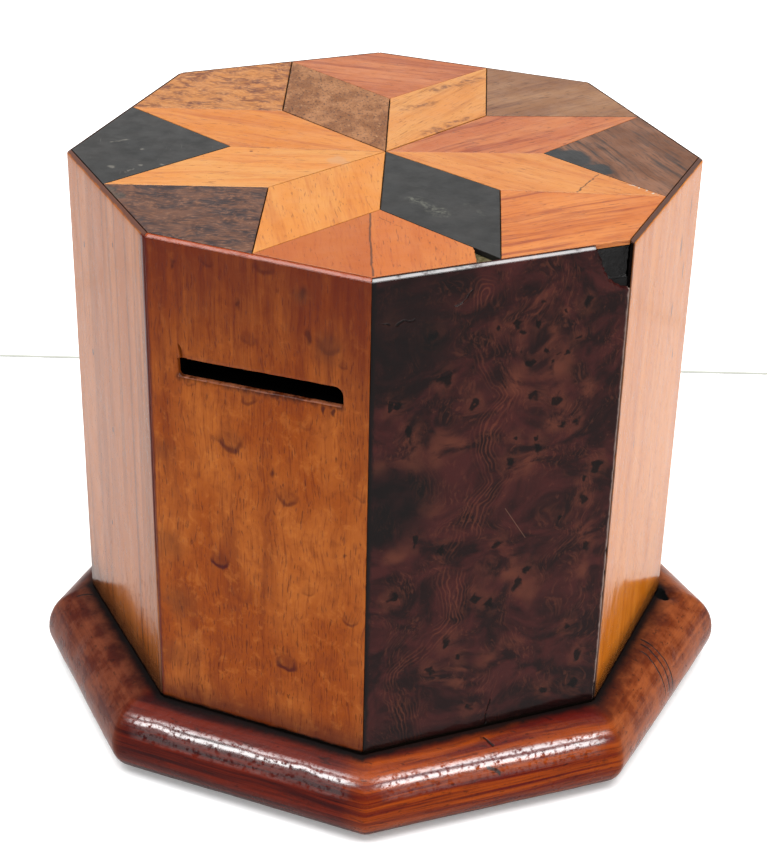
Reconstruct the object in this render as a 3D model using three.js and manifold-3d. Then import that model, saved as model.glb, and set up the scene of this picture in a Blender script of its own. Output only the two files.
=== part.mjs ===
// Eight-sided parquetry money box: a mitred box of eight boards, veneered in specimen woods,
// with an eight-pointed star of veneers on its top, standing on a round-edged board.
// Millimetres, +Z up, the coin slot faces -Y, and the origin is under the middle of the base.
import * as THREE from 'three';
import { mergeVertices } from 'three/addons/utils/BufferGeometryUtils.js';
import Module from 'manifold-3d';

// The body: an octagon, measured across its flats over the veneer
const BODY_ACROSS_FLATS = 110;
const BODY_HEIGHT = 98.1;
const BOARD_THICKNESS = 6;
const TOP_BOARD_THICKNESS = 6;
const SIDE_VENEER = 0.8;
const STAR_VENEER = 0.9;

// Clearances: glue behind a veneer, mitres between boards, joints between veneers
const GLUE_LINE = 0.1;
const MITRE_GAP = 0.1;
const VENEER_JOINT = 0.1;
const SEAT_GAP = 0.1;

// The base board: how far it stands out, and the two roundings of its edge
const BASE_OVERHANG = 9.5;
const BASE_THICKNESS = 16.5;
const BASE_WIDEST_HEIGHT = 7;
const BASE_UPPER_ROUNDING = 9;
const BASE_LOWER_ROUNDING = 6.2;
const BASE_ROUNDING_STEPS = 8;

// The coin slot in the front side, a little off the middle and a little askew
const SLOT_LENGTH = 32;
const SLOT_WIDTH = 3.5;
const SLOT_CORNER_RADIUS = 0.8;
const SLOT_CORNER_STEPS = 4;
const SLOT_RISE = 74.4;
const SLOT_OFF_MIDDLE = 0.5;
const SLOT_TILT_DEG = 2.2;
const CUT_MARGIN = 2;

// The star is laid by hand: its middle off the middle of the body, [x, y], how far each of its points
// lies past the middle of its side, and how far each inner corner lies from its regular place, [x, y]
const STAR_MIDDLE = [0.5, -0.3];
const STAR_POINT_SLIPS = [-1, -0.6, 0.1, 0.9, -1.1, -2.2, -1.5, -2.6];
const INNER_CORNER_SLIPS = [[-0.8, 1.1], [-0.8, 0.6], [-0.7, 2.9], [0.2, 1.4], [-1.1, -0.1], [0.2, 0.4], [-0.3, 0.1],
  [-0.5, 0.5]];

// Lost corner of the burr veneer: in from the corner of the body, down from its top
const LOST_BURR_CORNER = [[7.4, 0], [6.3, 2.6], [5.5, 4.6], [4.4, 6.7], [3.1, 7.7], [1.2, 8.8], [0, 8.9]];

// Lost corner of the front kite: its two legs from the point of the star
const LOST_KITE_ALONG_SIDE = 4.4;
const LOST_KITE_ALONG_STAR = 6.4;

// The sides, anticlockwise from the slotted one as seen from above
const SIDE_NAMES = ['front', 'front_right', 'right', 'back_right', 'back', 'back_left', 'left',
  'front_left'];
const SIDE_COUNT = SIDE_NAMES.length;
const SIDE_TURN = 2 * Math.PI / SIDE_COUNT;
const FIRST_CORNER_ANGLE = -Math.PI / 2 - SIDE_TURN / 2;
const CORNER_REACH = 1 / Math.cos(SIDE_TURN / 2);

// The octagons are cut by hand: how far each corner lies from its regular place, [x, y].
// Corner k is the left end of side k, seen from outside.
const BODY_SLIPS = [[1.4, 0.3], [-1.1, 0.3], [1.0, 2.6], [1.0, 1.2], [0, 0.8], [-1.7, -1.2], [-1.6, -0.5],
  [1.0, -3.6]];
const BASE_SLIPS = [[-1.7, 2.1], [-1.4, 2.8], [-0.3, 1.8], [3.4, 1.2], [-0.3, 0.7], [-1.6, -1.8], [-0.1, -0.8],
  [2.4, -5.4]];

// Woods: colour and roughness
const WOODS = {
  mahogany: ['#85401f', 0.3],
  carcass: ['#8d6f4a', 0.8],
  birdsEyeMaple: ['#a5652b', 0.35],
  darkBurr: ['#432726', 0.3],
  satinwood: ['#c07a3c', 0.3],
  tulipwood: ['#8a4f32', 0.3],
  walnut: ['#5f4028', 0.35],
  rosewood: ['#4d2b22', 0.35],
  yew: ['#9a5a2c', 0.35],
  ebony: ['#3d3f3e', 0.5],
  boxwood: ['#e8a35f', 0.5],
  padauk: ['#d1804f', 0.5],
  snakewood: ['#8f7058', 0.5],
  goldenBurr: ['#c48a58', 0.5],
  kingwood: ['#6e5047', 0.5],
  greyWalnut: ['#a07a5a', 0.5],
};
const SIDE_WOODS = ['birdsEyeMaple', 'darkBurr', 'satinwood', 'walnut', 'yew', 'rosewood', 'padauk',
  'tulipwood'];
const STAR_WOODS = ['boxwood', 'ebony', 'boxwood', 'padauk', 'boxwood', 'snakewood', 'boxwood', 'boxwood'];
const KITE_WOODS = ['kingwood', 'padauk', 'padauk', 'kingwood', 'greyWalnut', 'padauk', 'goldenBurr', 'ebony'];

const wasm = await Module();
wasm.setup();

// Plan geometry: every outline is a ring of eight corners, anticlockwise

function octagonCorners(halfAcross, slips) {
  return slips.map(([slipX, slipY], k) => {
    const angle = FIRST_CORNER_ANGLE + k * SIDE_TURN;
    const radius = halfAcross * CORNER_REACH;
    return new THREE.Vector2(radius * Math.cos(angle) + slipX, radius * Math.sin(angle) + slipY);
  });
}

function outwardNormal(from, to) {
  const along = to.clone().sub(from).normalize();
  return new THREE.Vector2(along.y, -along.x);
}

// Where two lines meet, each given by a point and its direction
function crossing(pointA, directionA, pointB, directionB) {
  const apart = pointB.clone().sub(pointA);
  const share = apart.cross(directionB) / directionA.cross(directionB);
  return pointA.clone().addScaledVector(directionA, share);
}

// The polygon with each edge moved inwards by its own amount
function insetPolygon(points, insets) {
  const count = points.length;
  const lines = points.map((point, k) => {
    const next = points[(k + 1) % count];
    const inwards = outwardNormal(point, next).multiplyScalar(-insets[k]);
    return { start: point.clone().add(inwards), direction: next.clone().sub(point) };
  });
  return lines.map((line, k) => {
    const before = lines[(k + count - 1) % count];
    return crossing(before.start, before.direction, line.start, line.direction);
  });
}

function insetRing(ring, inset) {
  return insetPolygon(ring, ring.map(() => inset));
}

function middleOfBounds(ring) {
  const bounds = new THREE.Box2().setFromPoints(ring);
  return bounds.getCenter(new THREE.Vector2());
}

const baseAsCut = octagonCorners(BODY_ACROSS_FLATS / 2 + BASE_OVERHANG, BASE_SLIPS);
const origin = middleOfBounds(baseAsCut);
const baseRing = baseAsCut.map((corner) => corner.clone().sub(origin));
const bodyRing = octagonCorners(BODY_ACROSS_FLATS / 2, BODY_SLIPS).map((corner) => corner.sub(origin));
const boardRing = insetRing(bodyRing, SIDE_VENEER + GLUE_LINE);
const hollowRing = insetRing(boardRing, BOARD_THICKNESS);
const starRing = insetRing(bodyRing, SIDE_VENEER + VENEER_JOINT);

// Heights above the foot of the body
const starUnderside = BODY_HEIGHT - STAR_VENEER;
const topBoardUnderside = starUnderside - GLUE_LINE - TOP_BOARD_THICKNESS;
const boardHeight = topBoardUnderside - GLUE_LINE;

// Solids

function prism(outline, bottom, height) {
  const geometry = new THREE.ExtrudeGeometry(new THREE.Shape(outline), { depth: height, bevelEnabled: false });
  geometry.translate(0, 0, bottom);
  return geometry;
}

function toSolid(geometry) {
  const bare = geometry.clone();
  bare.deleteAttribute('normal');
  bare.deleteAttribute('uv');
  const merged = mergeVertices(bare);
  const vertProperties = new Float32Array(merged.getAttribute('position').array);
  const triVerts = new Uint32Array(merged.getIndex().array);
  return new wasm.Manifold(new wasm.Mesh({ numProp: 3, vertProperties, triVerts }));
}

function toGeometry(solid) {
  const mesh = solid.getMesh();
  const geometry = new THREE.BufferGeometry();
  geometry.setAttribute('position', new THREE.BufferAttribute(mesh.vertProperties, 3));
  geometry.setIndex(new THREE.BufferAttribute(mesh.triVerts, 1));
  geometry.computeVertexNormals();
  return geometry;
}

function cut(geometry, cutter) {
  return toGeometry(toSolid(geometry).subtract(toSolid(cutter)));
}

// Stands a shape drawn on a side (right and up, from the side's left foot) up against that side,
// reaching from behind the boards to in front of the veneer
function cutterThroughSide(side, shape) {
  const left = bodyRing[side];
  const right = bodyRing[(side + 1) % SIDE_COUNT];
  const along = right.clone().sub(left).normalize();
  const outward = outwardNormal(left, right);
  const inside = SIDE_VENEER + GLUE_LINE + BOARD_THICKNESS + CUT_MARGIN;
  const geometry = new THREE.ExtrudeGeometry(shape, {
    depth: inside + CUT_MARGIN,
    bevelEnabled: false,
    curveSegments: SLOT_CORNER_STEPS,
  });
  geometry.translate(0, 0, -inside);
  const placed = new THREE.Matrix4().makeBasis(
    new THREE.Vector3(along.x, along.y, 0),
    new THREE.Vector3(0, 0, 1),
    new THREE.Vector3(outward.x, outward.y, 0),
  );
  placed.setPosition(left.x, left.y, 0);
  return geometry.applyMatrix4(placed);
}

function slotShape() {
  const halfLength = SLOT_LENGTH / 2;
  const halfWidth = SLOT_WIDTH / 2;
  const radius = SLOT_CORNER_RADIUS;
  const middle = new THREE.Vector2(bodyRing[0].distanceTo(bodyRing[1]) / 2 + SLOT_OFF_MIDDLE, SLOT_RISE);
  const tilt = THREE.MathUtils.degToRad(SLOT_TILT_DEG);
  const corners = [[1, -1, -90], [1, 1, 0], [-1, 1, 90], [-1, -1, 180]];
  const points = corners.flatMap(([sideX, sideY, startDeg]) => {
    const arc = [];
    for (let step = 0; step <= SLOT_CORNER_STEPS; step += 1) {
      const angle = THREE.MathUtils.degToRad(startDeg + 90 * step / SLOT_CORNER_STEPS);
      const point = new THREE.Vector2(
        sideX * (halfLength - radius) + radius * Math.cos(angle),
        sideY * (halfWidth - radius) + radius * Math.sin(angle),
      );
      arc.push(point.rotateAround(new THREE.Vector2(), tilt).add(middle));
    }
    return arc;
  });
  return new THREE.Shape(points);
}

function lostBurrShape(side) {
  const length = bodyRing[side].distanceTo(bodyRing[side + 1]);
  const edge = LOST_BURR_CORNER.map(([inwards, down]) => {
    return new THREE.Vector2(length - inwards, BODY_HEIGHT - down);
  });
  const [firstIn] = LOST_BURR_CORNER[0];
  const lowest = LOST_BURR_CORNER[LOST_BURR_CORNER.length - 1][1];
  const beyond = [
    new THREE.Vector2(length + CUT_MARGIN, BODY_HEIGHT - lowest),
    new THREE.Vector2(length + CUT_MARGIN, BODY_HEIGHT + CUT_MARGIN),
    new THREE.Vector2(length - firstIn, BODY_HEIGHT + CUT_MARGIN),
  ];
  return new THREE.Shape([...edge, ...beyond]);
}

// One mitred piece of a side, between an outer and an inner ring
function mitredPlan(outerRing, innerRing, side, gap) {
  const next = (side + 1) % SIDE_COUNT;
  const plan = [outerRing[side], outerRing[next], innerRing[next], innerRing[side]];
  return insetPolygon(plan, [0, gap / 2, 0, gap / 2]);
}

function sideBoard(side) {
  const board = prism(mitredPlan(boardRing, hollowRing, side, MITRE_GAP), 0, boardHeight);
  return side === 0 ? cut(board, cutterThroughSide(side, slotShape())) : board;
}

function sideVeneer(side) {
  const innerRing = insetRing(bodyRing, SIDE_VENEER);
  const veneer = prism(mitredPlan(bodyRing, innerRing, side, VENEER_JOINT), 0, BODY_HEIGHT);
  if (side === 0) {
    return cut(veneer, cutterThroughSide(side, slotShape()));
  }
  if (side === 1) {
    return cut(veneer, cutterThroughSide(side, lostBurrShape(side)));
  }
  return veneer;
}

function topBoard() {
  return prism(boardRing, topBoardUnderside, TOP_BOARD_THICKNESS);
}

// The star: eight rhombs that meet in the middle and reach the middle of each side
const starMiddle = new THREE.Vector2(...STAR_MIDDLE).sub(origin);
const waistRadius = (BODY_ACROSS_FLATS / 2 - SIDE_VENEER - VENEER_JOINT) * CORNER_REACH / 2;

function waistPoint(corner) {
  const place = corner % SIDE_COUNT;
  const angle = FIRST_CORNER_ANGLE + place * SIDE_TURN;
  const regular = new THREE.Vector2(Math.cos(angle), Math.sin(angle)).multiplyScalar(waistRadius);
  return starMiddle.clone().add(regular).add(new THREE.Vector2(...INNER_CORNER_SLIPS[place]));
}

function starPoint(side) {
  const left = starRing[side];
  const right = starRing[(side + 1) % SIDE_COUNT];
  const along = right.clone().sub(left).normalize();
  return left.clone().add(right).multiplyScalar(0.5).addScaledVector(along, STAR_POINT_SLIPS[side]);
}

function starVeneer(outline, atTheEdge) {
  const inset = insetPolygon(outline, atTheEdge.map((edge) => (edge ? 0 : VENEER_JOINT / 2)));
  return prism(inset, starUnderside, STAR_VENEER);
}

function rhomb(side) {
  const outline = [starMiddle, waistPoint(side), starPoint(side), waistPoint(side + 1)];
  return starVeneer(outline, [false, false, false, false]);
}

// The kite that fills corner k, between the points of sides k - 1 and k
function kite(corner) {
  const before = starPoint((corner + SIDE_COUNT - 1) % SIDE_COUNT);
  const after = starPoint(corner);
  const waist = waistPoint(corner);
  if (corner !== 1) {
    return starVeneer([waist, before, starRing[corner], after], [false, true, true, false]);
  }
  const onSide = starRing[corner].clone().sub(after).setLength(LOST_KITE_ALONG_SIDE).add(after);
  const onStar = waist.clone().sub(after).setLength(LOST_KITE_ALONG_STAR).add(after);
  return starVeneer([waist, before, starRing[corner], onSide, onStar], [false, true, true, true, false]);
}

// The base: level rings from the underside up over the two roundings, joined and capped
function baseEdge() {
  const steps = [];
  for (let step = 0; step <= BASE_ROUNDING_STEPS; step += 1) {
    const angle = Math.PI / 2 * step / BASE_ROUNDING_STEPS;
    steps.push([BASE_LOWER_ROUNDING * (1 - Math.sin(angle)), BASE_WIDEST_HEIGHT * (1 - Math.cos(angle))]);
  }
  for (let step = 1; step <= BASE_ROUNDING_STEPS; step += 1) {
    const angle = Math.PI / 2 * step / BASE_ROUNDING_STEPS;
    const rise = (BASE_THICKNESS - BASE_WIDEST_HEIGHT) * Math.sin(angle);
    steps.push([BASE_UPPER_ROUNDING * (1 - Math.cos(angle)), BASE_WIDEST_HEIGHT + rise]);
  }
  return steps;
}

function baseBoard() {
  const edge = baseEdge();
  const positions = [];
  for (const [inset, height] of edge) {
    for (const corner of insetRing(baseRing, inset)) {
      positions.push(corner.x, corner.y, height);
    }
  }
  const triangles = [];
  for (let level = 0; level + 1 < edge.length; level += 1) {
    for (let k = 0; k < SIDE_COUNT; k += 1) {
      const low = level * SIDE_COUNT + k;
      const lowNext = level * SIDE_COUNT + (k + 1) % SIDE_COUNT;
      triangles.push(low, lowNext, lowNext + SIDE_COUNT, low, lowNext + SIDE_COUNT, low + SIDE_COUNT);
    }
  }
  const lastLevel = (edge.length - 1) * SIDE_COUNT;
  for (let k = 1; k + 1 < SIDE_COUNT; k += 1) {
    triangles.push(0, k + 1, k);
    triangles.push(lastLevel, lastLevel + k, lastLevel + k + 1);
  }
  const geometry = new THREE.BufferGeometry();
  geometry.setAttribute('position', new THREE.Float32BufferAttribute(positions, 3));
  geometry.setIndex(triangles);
  geometry.computeVertexNormals();
  return geometry;
}

// The whole money box

function named(name, geometry, wood) {
  const [color, roughness] = WOODS[wood];
  const mesh = new THREE.Mesh(geometry, new THREE.MeshStandardMaterial({ color, roughness, metalness: 0 }));
  mesh.name = name;
  return mesh;
}

const moneyBox = new THREE.Group();
moneyBox.name = 'money_box';
moneyBox.add(named('base_board', baseBoard(), 'mahogany'));

const body = new THREE.Group();
body.name = 'body';
body.position.z = BASE_THICKNESS + SEAT_GAP;
moneyBox.add(body);

for (let side = 0; side < SIDE_COUNT; side += 1) {
  body.add(named(`side_board_${SIDE_NAMES[side]}`, sideBoard(side), 'carcass'));
  body.add(named(`side_veneer_${SIDE_NAMES[side]}`, sideVeneer(side), SIDE_WOODS[side]));
}
body.add(named('top_board', topBoard(), 'carcass'));
for (let side = 0; side < SIDE_COUNT; side += 1) {
  const before = SIDE_NAMES[(side + SIDE_COUNT - 1) % SIDE_COUNT];
  body.add(named(`star_rhomb_${SIDE_NAMES[side]}`, rhomb(side), STAR_WOODS[side]));
  body.add(named(`corner_kite_${before}_to_${SIDE_NAMES[side]}`, kite(side), KITE_WOODS[side]));
}

export default moneyBox;
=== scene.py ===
"""Octagonal parquetry money box: veneered sides, a star of specimen woods on the top, a round-edged base."""
import functools
import math
import random

import bpy
from mathutils import Matrix, Vector, noise


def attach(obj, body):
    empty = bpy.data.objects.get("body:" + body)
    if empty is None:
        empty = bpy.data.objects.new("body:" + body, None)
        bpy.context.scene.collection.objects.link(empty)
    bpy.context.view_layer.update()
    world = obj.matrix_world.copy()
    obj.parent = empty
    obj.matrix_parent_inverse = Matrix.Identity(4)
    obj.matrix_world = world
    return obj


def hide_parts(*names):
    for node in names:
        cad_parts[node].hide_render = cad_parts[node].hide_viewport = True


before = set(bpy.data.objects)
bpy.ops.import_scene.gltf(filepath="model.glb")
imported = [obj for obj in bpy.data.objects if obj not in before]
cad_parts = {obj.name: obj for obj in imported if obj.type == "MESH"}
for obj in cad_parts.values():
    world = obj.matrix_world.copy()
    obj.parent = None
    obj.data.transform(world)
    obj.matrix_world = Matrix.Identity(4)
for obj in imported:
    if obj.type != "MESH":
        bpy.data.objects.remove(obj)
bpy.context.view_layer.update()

MM = 0.001

# The box's own sizes in millimetres, as its solids have them
BODY_ACROSS_FLATS = 110.0
BODY_HEIGHT = 98.1
TOP_BOARD = 6.0
SIDE_VENEER = 0.8
STAR_VENEER = 0.9
VENEER_JOINT = 0.1
BASE_OVERHANG = 9.5
BASE_THICKNESS = 16.5
BASE_WIDEST_HEIGHT = 7.0
BASE_UPPER_ROUNDING = 9.0
BASE_LOWER_ROUNDING = 6.2
FOOT = BASE_THICKNESS + VENEER_JOINT
TOP = FOOT + BODY_HEIGHT
SLOT_LENGTH = 32.0
SLOT_WIDTH = 3.5
SLOT_RISE = 74.4
SLOT_OFF_MIDDLE = 0.5
SLOT_TILT = math.radians(2.2)
STAR_MIDDLE = Vector((0.5, -0.3))
STAR_POINT_SLIPS = (-1, -0.6, 0.1, 0.9, -1.1, -2.2, -1.5, -2.6)
INNER_CORNER_SLIPS = (
    (-0.8, 1.1), (-0.8, 0.6), (-0.7, 2.9), (0.2, 1.4), (-1.1, -0.1), (0.2, 0.4), (-0.3, 0.1), (-0.5, 0.5),
)
BODY_SLIPS = (
    (1.4, 0.3), (-1.1, 0.3), (1.0, 2.6), (1.0, 1.2), (0, 0.8), (-1.7, -1.2), (-1.6, -0.5), (1.0, -3.6),
)
BASE_SLIPS = (
    (-1.7, 2.1), (-1.4, 2.8), (-0.3, 1.8), (3.4, 1.2), (-0.3, 0.7), (-1.6, -1.8), (-0.1, -0.8), (2.4, -5.4),
)
LOST_BURR_CORNER = ((7.4, 0), (6.3, 2.6), (5.5, 4.6), (4.4, 6.7), (3.1, 7.7), (1.2, 8.8), (0, 8.9))
LOST_KITE_ALONG_SIDE = 4.4
LOST_KITE_ALONG_STAR = 6.4
SIDES = ("front", "front_right", "right", "back_right", "back", "back_left", "left", "front_left")
TURN = math.tau / 8


def octagon(half_across, slips):
    radius = half_across / math.cos(TURN / 2)
    angles = [-math.pi / 2 - TURN / 2 + k * TURN for k in range(8)]
    return [Vector((radius * math.cos(a) + x, radius * math.sin(a) + y)) for a, (x, y) in zip(angles, slips)]


def inset_polygon(points, insets):
    """The polygon with each edge moved inwards by its own amount."""
    lines = []
    for k, start in enumerate(points):
        along = (points[(k + 1) % len(points)] - start).normalized()
        lines.append((start + Vector((-along.y, along.x)) * insets[k], along))
    corners = []
    for k, (start, along) in enumerate(lines):
        before, direction = lines[k - 1]
        apart = start - before
        cross = direction.x * along.y - direction.y * along.x
        corners.append(before + direction * ((apart.x * along.y - apart.y * along.x) / cross))
    return corners


def inset_ring(ring, inset):
    return inset_polygon(ring, [inset] * len(ring))


base_as_cut = octagon(BODY_ACROSS_FLATS / 2 + BASE_OVERHANG, BASE_SLIPS)
ORIGIN = Vector((
    (min(c.x for c in base_as_cut) + max(c.x for c in base_as_cut)) / 2,
    (min(c.y for c in base_as_cut) + max(c.y for c in base_as_cut)) / 2,
))
BASE_RING = [c - ORIGIN for c in base_as_cut]
BODY_RING = [c - ORIGIN for c in octagon(BODY_ACROSS_FLATS / 2, BODY_SLIPS)]
STAR_RING = inset_ring(BODY_RING, SIDE_VENEER + VENEER_JOINT)
STAR_CENTRE = STAR_MIDDLE - ORIGIN
WAIST = (BODY_ACROSS_FLATS / 2 - SIDE_VENEER - VENEER_JOINT) / math.cos(TURN / 2) / 2


# Camera: it stands as the photograph's did
CAMERA_TURN = math.radians(22.885)
CAMERA_RISE = math.radians(29.066)
CAMERA_ROLL = math.radians(1.355)
CAMERA_EYE = Vector((138.25, -329.84, 252.53))
CAMERA_LENS = 83.62
CAMERA_FILM_WIDTH = 36


def camera_at_the_photographs_place():
    level = Vector((math.cos(CAMERA_TURN), math.sin(CAMERA_TURN), 0))
    back = Vector((level.y * math.cos(CAMERA_RISE), -level.x * math.cos(CAMERA_RISE), math.sin(CAMERA_RISE)))
    upright = back.cross(level)
    right = level * math.cos(CAMERA_ROLL) + upright * math.sin(CAMERA_ROLL)
    up = upright * math.cos(CAMERA_ROLL) - level * math.sin(CAMERA_ROLL)
    lens = bpy.data.cameras.new("camera")
    lens.sensor_width = CAMERA_FILM_WIDTH
    lens.lens = CAMERA_LENS
    lens.clip_start = 0.01
    camera = bpy.data.objects.new("camera", lens)
    turned = Matrix((right, up, back)).transposed().to_4x4()
    camera.matrix_world = Matrix.Translation(CAMERA_EYE * MM) @ turned
    bpy.context.scene.collection.objects.link(camera)
    bpy.context.scene.camera = camera


# Shader arithmetic
class Signal:
    """What one shader node gives out: a number, a colour, or a place in millimetres."""

    def __init__(self, finish, socket):
        self.finish = finish
        self.socket = socket

    def math(self, operation, *values):
        return self.finish.node("Math", {"operation": operation}, dict(enumerate(values)))

    def __add__(self, other):
        return self.math("ADD", self, other)

    __radd__ = __add__

    def __sub__(self, other):
        return self.math("SUBTRACT", self, other)

    def __rsub__(self, other):
        return self.math("SUBTRACT", other, self)

    def __mul__(self, other):
        return self.math("MULTIPLY", self, other)

    __rmul__ = __mul__

    def __truediv__(self, other):
        return self.math("DIVIDE", self, other)

    def smaller(self, other):
        return self.math("MINIMUM", self, other)

    def larger(self, other):
        return self.math("MAXIMUM", self, other)

    def wave(self):
        return self.math("SINE", self)

    def unsigned(self):
        return self.math("ABSOLUTE", self)

    def step(self, low, high):
        """0 up to the first value, 1 from the second, and smooth between them."""
        return self.finish.node("MapRange", {"interpolation_type": "SMOOTHSTEP"}, {0: self, 1: low, 2: high})

    def held(self):
        """Kept between 0 and 1."""
        return self.finish.node("Clamp", None, {0: self})

    def bump(self):
        return self.finish.node("Bump", None, {"Height": self, "Distance": MM, "Strength": 1.0})

    def parts(self):
        return [self.finish.node("SeparateXYZ", None, {0: self}, k) for k in range(3)]

    def vector(self, operation, other, output=0):
        return self.finish.node("VectorMath", {"operation": operation}, {0: self, 1: other}, output)

    def noise(self, lengths, detail, rough, shift):
        """Cloudy values round 0.5, their clouds one length, or three lengths, in millimetres."""
        lengths = lengths if isinstance(lengths, tuple) else (lengths,) * 3
        moved = self.vector("MULTIPLY", tuple(1 / length for length in lengths))
        moved = moved.vector("ADD", (shift * 7.31, shift * 3.77, shift * 5.19))
        return self.finish.node("TexNoise", None, {
            "Vector": moved, "Scale": 1.0, "Detail": detail, "Roughness": rough})

    def swayed(self, amount, length, shift=0.0):
        """The place moved about a little, so that what follows it wanders."""
        moved = self.vector("MULTIPLY", (1 / length,) * 3)
        moved = moved.vector("ADD", (shift * 3.1, shift * 9.7, shift * 1.3))
        drift = self.finish.node("TexNoise", None, {"Vector": moved, "Scale": 1.0, "Detail": 1.5}, 1)
        centred = drift.vector("SUBTRACT", (0.5, 0.5, 0.5))
        return self.vector("ADD", centred.vector("MULTIPLY", (amount * 2,) * 3))

    def near(self, spots):
        """How far from the nearest of some spots (across, up, radius), in radii."""
        return least([self.vector("DISTANCE", (x, y, 0), 1) / radius for x, y, radius in spots])

    def off_line(self, *lines):
        """Millimetres from the nearest of some bent lines, each of them a row of points."""
        apart = []
        for start, end in (pair for line in lines for pair in zip(line, line[1:])):
            run = Vector((*end, 0)) - Vector((*start, 0))
            out = self.vector("SUBTRACT", (*start, 0))
            share = out.vector("DOT_PRODUCT", tuple(run / run.length_squared), 1).held()
            foot = self.finish.node("VectorMath", {"operation": "SCALE"}, {0: tuple(run), "Scale": share})
            apart.append(out.vector("DISTANCE", foot, 1))
        return least(apart)


class Finish:
    """One wood with its polish: a material and the nodes that vary it over the surface."""

    def __init__(self, name):
        self.material = bpy.data.materials.new(name)
        self.material.use_nodes = True
        self.tree = self.material.node_tree
        self.tree.nodes.clear()

    def node(self, kind, settings=None, inputs=None, output=0):
        made = self.tree.nodes.new("ShaderNode" + kind)
        for key, value in (settings or {}).items():
            setattr(made, key, value)
        for key, value in (inputs or {}).items():
            if isinstance(value, Signal):
                self.tree.links.new(value.socket, made.inputs[key])
            elif isinstance(value, tuple) and made.inputs[key].type == "RGBA":
                made.inputs[key].default_value = (*value, 1)
            else:
                made.inputs[key].default_value = value
        return Signal(self, made.outputs[output])

    def place(self, corner=Vector((0, 0)), angle=0.0, height=0.0):
        """Millimetres from a corner of the piece: along its first edge, in from it, and up."""
        return self.node("Mapping", {"vector_type": "TEXTURE"}, {
            "Vector": self.node("TexCoord", output=3), "Rotation": (0, 0, angle),
            "Location": (corner.x * MM, corner.y * MM, height * MM), "Scale": (MM, MM, MM)})

    def surface(self, colour, roughness, normal=None, coat=0.0, **uniform):
        sockets = {"Base Color": colour, "Roughness": roughness, "Coat Weight": coat, **uniform}
        if normal is not None:
            sockets["Normal"] = normal
        shader = self.node("BsdfPrincipled", None, sockets)
        output = self.tree.nodes.new("ShaderNodeOutputMaterial")
        self.tree.links.new(shader.socket, output.inputs["Surface"])
        return self.material


def mix(share, first, second):
    """The first colour, with the second over it where the share is 1."""
    return share.finish.node("Mix", {"data_type": "RGBA"}, {0: share, 6: first, 7: second}, 2)


def join(x, y, z=0.0):
    return x.finish.node("CombineXYZ", None, {0: x, 1: y, 2: z})


def least(signals):
    return functools.reduce(Signal.smaller, signals)


def most(signals):
    return functools.reduce(Signal.larger, signals)


def linear(red, green, blue):
    """A colour written 0 to 255 as the eye reads it, as the shader wants it."""
    shares = (red / 255, green / 255, blue / 255)
    return tuple(((c + 0.055) / 1.055) ** 2.4 if c > 0.04 else c / 12.92 for c in shares)


def seen_as(colour, light, sheen):
    """The wood's own colour, when it is to be seen as the given one under that light and with that sheen."""
    return tuple(min(max((c - sheen) / light, 0.002), 0.9) for c in linear(*colour))


TOP_LIGHT, TOP_SHEEN = 2.4, 0.08
SIDE_LIGHT, SIDE_SHEEN = 1.54, 0.014


def on_top(*colour):
    return seen_as(colour, TOP_LIGHT, TOP_SHEEN)


def on_side(*colour):
    return seen_as(colour, SIDE_LIGHT, SIDE_SHEEN)


# Mesh making
def loft(loops):
    """Faces between loops of equal length, stacked one on the next."""
    size = len(loops[0])
    verts = [point for loop in loops for point in loop]
    faces = []
    for level in range(len(loops) - 1):
        for k in range(size):
            low, low_next = level * size + k, level * size + (k + 1) % size
            faces.append((low, low_next, low_next + size, low + size))
    return verts, faces


def closed_loft(loops):
    verts, faces = loft(loops)
    size = len(loops[0])
    faces.append(tuple(reversed(range(size))))
    faces.append(tuple((len(loops) - 1) * size + k for k in range(size)))
    return verts, faces


def bare_object(name, verts, faces):
    mesh = bpy.data.meshes.new(name)
    mesh.from_pydata([tuple(c * MM for c in v) for v in verts], [], faces)
    mesh.validate()
    mesh.update()
    made = bpy.data.objects.new(name, mesh)
    bpy.context.scene.collection.objects.link(made)
    return made


SHARP_FROM = math.radians(35)


def smooth_but_for_edges(piece):
    piece.data.shade_smooth()
    piece.data.set_sharp_from_angle(angle=SHARP_FROM)


def make_piece(name, verts, faces, material, node):
    piece = bare_object(name, verts, faces)
    piece.data.materials.append(material)
    smooth_but_for_edges(piece)
    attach(piece, "root")
    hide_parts(node)
    return piece


def cut_away(piece, verts, faces):
    """Takes the closed shape out of the piece."""
    knife = bare_object("knife", verts, faces)
    cut = piece.modifiers.new("cut", "BOOLEAN")
    cut.operation = "DIFFERENCE"
    cut.solver = "EXACT"
    cut.object = knife
    left = bpy.data.meshes.new_from_object(piece.evaluated_get(bpy.context.evaluated_depsgraph_get()))
    whole = piece.data
    piece.modifiers.clear()
    piece.data = left
    knife_mesh = knife.data
    bpy.data.objects.remove(knife)
    bpy.data.meshes.remove(knife_mesh)
    bpy.data.meshes.remove(whole)
    smooth_but_for_edges(piece)


def wobble(*place):
    """A smooth value from about -1 to 1 that is always the same at one place."""
    return noise.noise(Vector((*place, 0, 0)[:3]))


# Sides
ARRIS_RADII = (1.1, 0.8, 1.1, 1.1, 1.1, 1.1, 1.1, 1.3)
ARRIS_STEPS = 4
SIDE_COLUMNS = 42
ROW_HEIGHT = 1.2
TOP_EDGE = (
    (0, -0.72), (0.02, -0.61), (0.06, -0.53), (0.11, -0.48), (0.16, -0.44), (0.6, -0.1), (0.65, -0.065),
    (0.7, -0.03), (0.76, 0),
)
TOP_EDGE_DROP = 0.73
WORN_CORNER = 6
WORN_DEPTH = 1.15
WORN_ALONG = {5: 2.4, 6: 2.8}


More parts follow.
